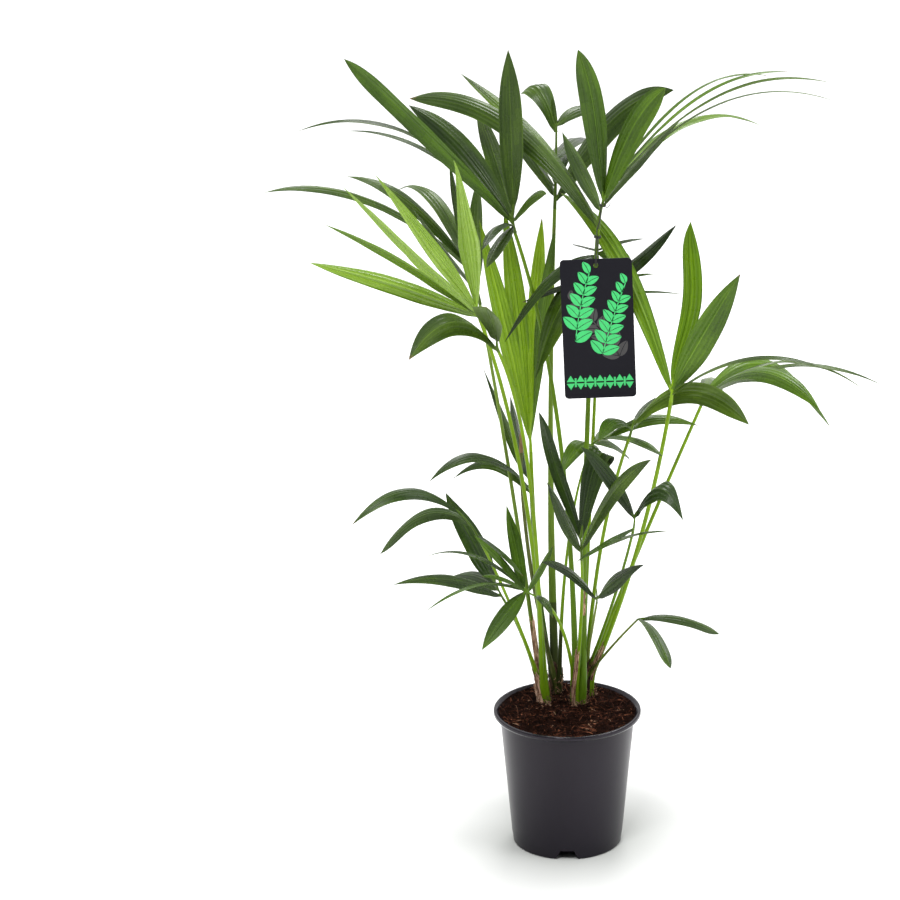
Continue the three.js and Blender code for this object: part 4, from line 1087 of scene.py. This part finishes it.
def make_fibres():
    """Coir: curved strands and flat chips that lie on the mix and stand a little out of it."""
    build = Build("coir_fibres", [
        dry_material("coir_dark", (0.004, 0.0017, 0.0012), (0.022, 0.0075, 0.0045), shine=0.06),
        dry_material("coir_brown", (0.022, 0.0075, 0.004), (0.085, 0.028, 0.015), shine=0.08),
        dry_material("coir_red", (0.080, 0.026, 0.012), (0.230, 0.085, 0.045), shine=0.12),
        dry_material("coir_pale", (0.180, 0.095, 0.058), (0.380, 0.235, 0.150), shine=0.15),
    ])
    chance = random.Random("coir")
    edge = mix_spread(1) - 1.5
    for number in range(FIBRES):
        make_strand(build, number, chance, edge)
    for _ in range(CHIPS):
        make_chip(build, chance, edge)
    build.done("potting_mix")


# ---------------------------------------------------------------- pot

POT_TURN_DEG, POT_SHARP_DEG, BEND_STEPS, FRONT_DEG = 2, 38, 5, 270
# Half a foot notch: degrees from its middle and its height there. It flares towards the ground.
NOTCH_SHAPE = [(0, 12), (6.2, 12), (7.1, 11.4), (8.0, 9.6), (9.5, 5.8), (11.2, 2.4), (12.8, 0), (13.4, 0)]
# The pot's profile, from the middle of its underside outwards, up the wall, over the lip and down inside. Each
# corner: radius, height and rounding.
POT_CORNERS = [
    (0, 0, 0), (FLOOR_DISC_RADIUS, 0, 0.6), (FLOOR_DISC_RADIUS + CHANNEL_SLOPE, CHANNEL_HEIGHT, 0.6),
    (CHANNEL_OUTER_RADIUS, CHANNEL_HEIGHT, 0.5), (CHANNEL_OUTER_RADIUS + CHANNEL_SLOPE, 0, 0.6),
    (wall_radius(0), 0, 3.0),
    *((wall_radius(z), z, 0) for z in (12.1, 15, 22, 40, 60, 80, 100, 120, 138, 150, 158)),
    (wall_radius(NECK_HEIGHT), NECK_HEIGHT, 1.0), (POT_LIP_RADIUS - 2.2, NECK_HEIGHT - 0.2, 1.3),
    (POT_LIP_RADIUS, NECK_HEIGHT + 2.6, 1.5), (POT_LIP_RADIUS - 0.4, POT_HEIGHT - 0.2, 1.6),
    (POT_NECK_RADIUS + 4.6, POT_HEIGHT, 0.6), (POT_NECK_RADIUS + 3.6, POT_HEIGHT - 1.0, 0.7),
    (POT_NECK_RADIUS + 2.2, POT_HEIGHT - 2.2, 0.7), (wall_radius(NECK_HEIGHT) - POT_WALL, NECK_HEIGHT, 1.5),
    (wall_radius(90) - POT_WALL, 90, 0), (wall_radius(FLOOR_TOP) - POT_WALL, FLOOR_TOP, 2.0),
    (0, FLOOR_TOP, 0),
]


def rounded(corners):
    """A profile whose corners (r, z, radius) are turned into small arcs."""
    profile = []
    for k, (r, z, radius) in enumerate(corners):
        here = np.array([r, z], float)
        if not radius:
            profile.append(here)
            continue
        before = unit(np.array(corners[k - 1][:2], float) - here)
        after = unit(np.array(corners[k + 1][:2], float) - here)
        half = math.acos(max(-1, min(1, float(before @ after)))) / 2
        if half > math.pi / 2 - 1e-3:
            profile.append(here)
            continue
        back = radius / math.tan(half)
        arc = bezier(here + before * back, here, here + after * back, np.linspace(0, 1, BEND_STEPS))
        profile += list(arc)
    return profile


def pot_turns():
    """Where the pot's points stand round it, in degrees: at even steps, and at the corners of the notches."""
    tenths = set(range(0, 3600, 10 * POT_TURN_DEG))
    for i in range(FOOT_NOTCHES):
        for offset, _ in NOTCH_SHAPE:
            for sign in (-1, 1):
                tenths.add(round((FRONT_DEG + 360 * i / FOOT_NOTCHES + sign * offset) * 10) % 3600)
    return [tenth / 10 for tenth in sorted(tenths)]


def pot_point(r, z, degrees):
    """A point of the pot's skin, raised over a notch, and waved a little on the wall."""
    apart = 360 / FOOT_NOTCHES
    away = abs((degrees - FRONT_DEG + apart / 2) % apart - apart / 2)
    lift = float(np.interp(away, *zip(*NOTCH_SHAPE)))
    height = max(z, lift) if r > FLOOR_DISC_RADIUS + CHANNEL_SLOPE + 0.5 else z
    angle = math.radians(degrees)
    if 20 < z < 160:
        r += 0.16 * rough_at(2.2 * math.cos(angle), 2.2 * math.sin(angle), z * 0.02)
    return r * math.cos(angle), r * math.sin(angle), height


def make_pot():
    black = (0.0070, 0.0058, 0.0100)
    material = plastic_material("pot_plastic_black", black, 0.31, shine=0.26)
    lip = plastic_material("pot_plastic_lip", black, 0.2, 260, 1.0, 0.3)
    build = Build("nursery_pot", [material, lip])
    profile, turns = rounded(POT_CORNERS)[1:-1], pot_turns()
    points = [(0, 0, 0), *(pot_point(r, z, turn) for r, z in profile for turn in turns), (0, 0, FLOOR_TOP)]
    faces = lathe_faces(len(profile), len(turns), len(points) - 1)
    build.add(points, faces, [int(points[face[0]][2] > NECK_HEIGHT - 0.5) for face in faces])
    pot = build.done("pot_plastic", ["pot"], POT_SHARP_DEG)

    drills = Build("drills", [material])
    place = (FLOOR_DISC_RADIUS + CHANNEL_OUTER_RADIUS + CHANNEL_SLOPE) / 2
    for i in range(DRAIN_HOLES):
        angle = math.pi / 2 + 2 * math.pi * (i + 0.5) / DRAIN_HOLES
        x, y = place * math.cos(angle), place * math.sin(angle)
        tube(drills, [[x, y, -4], [x, y, FLOOR_TOP]], [DRAIN_HOLE_RADIUS] * 2, 24, 0)
    cutter = drills.done("pot_plastic")
    cut = pot.modifiers.new("drain_holes", "BOOLEAN")
    cut.operation, cut.solver, cut.object = "DIFFERENCE", "EXACT", cutter
    shape = bpy.data.meshes.new_from_object(pot.evaluated_get(bpy.context.evaluated_depsgraph_get()))
    pot.modifiers.clear()
    pot.data = shape
    shape.set_sharp_from_angle(angle=math.radians(POT_SHARP_DEG))
    bpy.data.objects.remove(cutter)


# ---------------------------------------------------------------- tag and tie

TIED = "crown_right"
TIE_STEPS = 2001
PRINT_MARGIN, PRINT_LIFT, FAINT_LIFT = 1.5, 0.07, 0.03
# The sprigs: material, foot (x, z), heading in degrees and its turn at each pair of leaves, size, lift.
CARD_GREEN, CARD_GREY = range(2)
SPRIG_PAIRS = 8
SPRIGS = [
    (CARD_GREY, 24, -112, 118, 2.4, 1.1, FAINT_LIFT),
    (CARD_GREEN, -27, -92, 84, -2.0, 1.22, PRINT_LIFT),
    (CARD_GREEN, 4, -108, 74, -0.8, 1.12, PRINT_LIFT),
]
BAND_HEIGHT, BAND_STEP, LOZENGES = -143, 11.5, 7


def tie_place():
    """The point of the tied stalk at which the tie sits, and the stalk's direction there."""
    stalk = stalk_points(FRONDS[TIED])
    t = np.linspace(0, 1, TIE_STEPS)
    line = bezier(*stalk, t)
    left = np.cumsum(np.linalg.norm(np.diff(line[::-1], axis=0), axis=1))
    k = len(line) - 2 - int(np.searchsorted(left, TIE_BELOW_TOP))
    return line[k], unit(bezier_slope(*stalk, t[k:k + 1])[0])


def tag_hole():
    return tie_place()[0] + np.array([TAG_SHIFT, -TIE_STANDOFF, -TAG_HANG])


def swung(x, z, degrees):
    """A point of a plane, turned about its origin."""
    turn = math.radians(degrees)
    return x * math.cos(turn) - z * math.sin(turn), x * math.sin(turn) + z * math.cos(turn)


def plate(build, hole, outline, paint, lift=PRINT_LIFT):
    """A thin raised plate on the card's face, in the shape of a convex outline measured from its hole."""
    points = []
    for forward in (-0.02, lift):
        for x, z in outline:
            right, up = swung(x, z, TAG_TILT_DEG)
            points.append(hole + np.array([right, -(TAG_THICKNESS / 2 + forward), up]))
    count = len(outline)
    faces = [tuple(range(count, 2 * count))]
    faces += [(i, (i + 1) % count, count + (i + 1) % count, count + i) for i in range(count)]
    build.add(points, faces, paint)


def on_card(outline, top):
    """Whether an outline keeps inside the card's sides and below a height."""
    return all(abs(x) < TAG_WIDTH / 2 - PRINT_MARGIN and z < top for x, z in outline)


def half_leaf(x, z, angle, length, width, side, bend):
    """One half of an oval leaf with a slit for its midrib, from its stalk at (x, z)."""
    outline = []
    for s in np.linspace(0, 1, 15):
        out = width / 2 * math.sin(math.pi * s ** 0.85) ** 0.8
        outline.append((s * length, side * (out + 0.25) + bend * math.sin(math.pi * s)))
    for s in np.linspace(0.94, 0.06, 9):
        outline.append((s * length, side * 0.35 + bend * math.sin(math.pi * s)))
    outline = [(x + right, z + up) for right, up in (swung(a, b, angle) for a, b in outline)]
    return outline if side < 0 else outline[::-1]


def make_sprig(build, hole, paint, x, z, heading, bend, scale, lift):
    """A round-leaved sprig: its pairs of leaves, then its stem."""
    spine = []
    for number in range(SPRIG_PAIRS):
        spine.append(np.array([x, z]))
        size = scale * (16.5 - 0.85 * number)
        for side in (-1, 1):
            angle = heading + side * (54 - 1.5 * number)
            for half in (-1, 1):
                outline = half_leaf(x, z, angle, size * 1.15, size * 0.62, half, side * -0.8)
                clear = min(math.hypot(*point) for point in outline) > TAG_HOLE_RADIUS + 1
                if clear and on_card(outline, TAG_HOLE_DROP - 2):
                    plate(build, hole, outline, paint, lift)
        heading += bend
        step = scale * (12.4 - 0.3 * number)
        x += step * math.cos(math.radians(heading))
        z += step * math.sin(math.radians(heading))
    for low, high in zip(spine, spine[1:]):
        way = unit(high - low)
        off = np.array([-way[1], way[0]]) * 0.55
        outline = [low - off, high - off, high + off, low + off]
        if on_card(outline, -4):
            plate(build, hole, outline, paint, lift)


def make_tag():
    card = plastic_material("card_black", (0.0045, 0.005, 0.0080), 0.38, 700, 0.06, shine=0.14)
    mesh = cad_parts["tag"].data
    mesh.materials.clear()
    mesh.materials.append(card)
    hole = tag_hole()
    build = Build("tag_print", [
        print_material("card_green", (0.036, 0.54, 0.14)), print_material("card_grey", (0.035, 0.033, 0.034)),
    ])
    # sprigs that rise from the card's foot and lean apart, over fainter ones
    for sprig in SPRIGS:
        make_sprig(build, hole, *sprig)
    # a band of split lozenges and short bars along the foot of the card
    for number in range(LOZENGES):
        middle = BAND_STEP * (number - (LOZENGES - 1) / 2)
        for up in (-1, 1):
            half = [(middle + a, b * up + BAND_HEIGHT) for a, b in ((-4.8, 1.0), (4.8, 1.0), (0, 8.8))]
            plate(build, hole, half[::up], CARD_GREEN)
    for number in range(LOZENGES - 1):
        middle = BAND_STEP * (number - LOZENGES / 2 + 1)
        bar = [(middle + a, b + BAND_HEIGHT) for a, b in ((-1.1, -5.5), (1.1, -5.5), (1.1, 5.5), (-1.1, 5.5))]
        plate(build, hole, bar, CARD_GREEN)
    build.done("tag_card", (), 30)


def loop(build, centre, axis, reach, radius):
    """A round of the tie about a limb."""
    first = unit(np.cross(axis, [0, 1.0, 0]))
    second = np.cross(axis, first)
    count, sides = 32, 8
    points = []
    for c, s in circle(count):
        out = first * c + second * s
        middle = centre + out * reach + axis * 0.5 * s
        points += [middle + out * radius * across + axis * radius * along for across, along in circle(sides)]
    build.add(points, [[n % len(points) for n in face] for face in ring_faces(count + 1, sides)], 0)


def strand(build, knots, radius):
    """A length of the tie, bent smoothly through its knots."""
    knots = [np.array(k, float) for k in knots]
    knots = [2 * knots[0] - knots[1], *knots, 2 * knots[-1] - knots[-2]]
    line = []
    for k in range(1, len(knots) - 2):
        p0, p1, p2, p3 = knots[k - 1:k + 3]
        for s in np.linspace(0, 1, 9)[: None if k == len(knots) - 3 else -1]:
            line.append(0.5 * (2 * p1 + (p2 - p0) * s + (2 * p0 - 5 * p1 + 4 * p2 - p3) * s * s
                               + (3 * p1 - p0 - 3 * p2 + p3) * s ** 3))
    tube(build, line, [radius] * len(line), 8, 0)


def make_tie():
    build = Build("tag_cord_loop", [plastic_material("tie_black", (0.010, 0.010, 0.011), 0.5, 400, 0.2)])
    point, along = tie_place()
    hole = tag_hole()
    stalk_radius = FRONDS[TIED].girth[1]
    ring = stalk_radius + 2 * GAP + TIE_RADIUS
    for shift in (0.9, -0.8):
        loop(build, point + along * shift, along, ring, TIE_RADIUS * 0.8)
    front = point + np.array([0, -ring, 0])
    for side in (-0.75, 0.75):
        strand(build, [
            hole + [side, 5, -2], hole + [side, 0, 0], hole + [side, -3, TAG_HOLE_DROP + 2],
            (hole + point) / 2 + [side * 1.6, -3, 0], front + [side, 0, 0],
        ], TIE_RADIUS * 0.72)
    # the strand runs on up to the rib, where it is knotted; the two cut ends stand off
    rib = rib_points(FRONDS[TIED])
    high = bezier(*rib, [0.62])[0]
    rise = unit(bezier_slope(*rib, [0.62])[0])
    grip = stalk_radius * 0.8 + 1.1
    loop(build, high, rise, grip, TIE_RADIUS * 0.75)
    loop(build, high + rise * 1.5, rise, grip, TIE_RADIUS * 0.7)
    strand(build, [
        front, front + [-0.6, -0.9, 9], (front + high) / 2 + [0.4, -3.4, 4], high + [-0.8, -grip - 0.3, -0.5],
    ], TIE_RADIUS * 0.7)
    knot = high + np.array([grip * 0.8, -grip * 0.7, 0.8])
    for radius, *steps in (
        (0.85, (-2.2, 0.5, -1.2), (0, -1.4, 0.6), (2.2, 0.4, 0), (0.4, 1.2, 1.6), (-1.8, 0, 0.9),
         (0.2, -1.1, -0.9), (2, 0.3, 1.4)),
        (0.55, (0, 0, 0), (3, -1, 3), (4.5, -0.5, 6), (2.5, 0.5, 8)),
        (0.55, (0, 0, 0), (3.5, -2, -1.5), (6.5, -1.5, 0.5), (7.5, 0, 3.5)),
    ):
        strand(build, [knot + step for step in steps], TIE_RADIUS * radius)
    build.done("tie_plastic", ["tag_tie"])


# ---------------------------------------------------------------- stage and light

WORLD_FRONT, WORLD_BACK, WORLD_TOP = 0.06, 0.95, 0.6
# Each light: its place, the point that it shines at, its breadth in metres and its power.
LIGHTS = {
    "key": ((-0.7, -2.3, 3.9), (0, 0, 0.6), 1.3, 112),
    "fill": ((2.6, -1.2, 2.4), (0, 0, 0.6), 1.6, 38),
    "back": ((0.4, 2.6, 3.2), (0, 0, 0.7), 1.3, 60),
}
FLOOR_RADII, FLOOR_SIDES = (0.3, 1, 3, 10, 60), 64
# The floor's colour close round the pot, greyed there as a painted shadow, and its own even white further out.
FLOOR_PAINTED_SHADOW, FLOOR_FAR = (0.525, 0.538, 0.52), (0.985, 0.985, 0.985)


def make_stage():
    paper = skin("studio_floor_painted_shadow", {ROUGHNESS: 0.9, SHINE: 0.1})
    # a white sheet with a painted shadow: greyer close round the pot, in an uneven patch
    far = paper.made("VectorMath", {0: paper.place()}, operation="LENGTH")["Value"]
    sway = paper.maths("MULTIPLY_ADD", paper.cloud(3, detail=2), 0.12, far)
    paper.feed({COLOUR: paper.blend(paper.spread(sway, 0, 1, 0.135, 0.32), FLOOR_PAINTED_SHADOW, FLOOR_FAR)})
    mesh = bpy.data.meshes.new("floor")
    points = [(0, 0, 0), *((x, y, 0) for radius in FLOOR_RADII for x, y in circle(FLOOR_SIDES, radius))]
    mesh.from_pydata(points, [], flipped(lathe_faces(len(FLOOR_RADII), FLOOR_SIDES)))
    mesh.materials.append(paper.owner)
    floor = linked("floor", mesh)


def area_light(name, place, target, breadth, power):
    data = bpy.data.lights.new(name, "AREA")
    data.shape = "RECTANGLE"
    data.size = data.size_y = breadth
    data.energy = power
    light = linked(name, data)
    light.location = place
    light.rotation_mode = "QUATERNION"
    light.rotation_quaternion = (Vector(target) - Vector(place)).to_track_quat("-Z", "Y")


def make_light():
    """A white studio: bright above and behind the plant, and dark where the camera stands."""
    scene = bpy.context.scene
    scene.view_settings.view_transform = "Standard"
    scene.view_settings.look = "None"
    scene.world = bpy.data.worlds.new("studio")
    air = Nodes(scene.world, "Background", {"Color": (1, 1, 1, 1)})
    behind = air.spread(air.place("Y", "Generated"), WORLD_FRONT, WORLD_BACK, -0.75, 0.1)
    above = air.spread(air.place("Z", "Generated"), 0, WORLD_TOP, 0.45, 0.95)
    air.feed({"Strength": air.maths("ADD", behind, above)})
    for name, light in LIGHTS.items():
        area_light(name, *light)


make_camera()
make_stage()
make_light()
make_pot()
make_mix()
make_fibres()
make_stalks()
make_cut_stalk()
make_sheaths()
make_fronds()
make_tag()
make_tie()
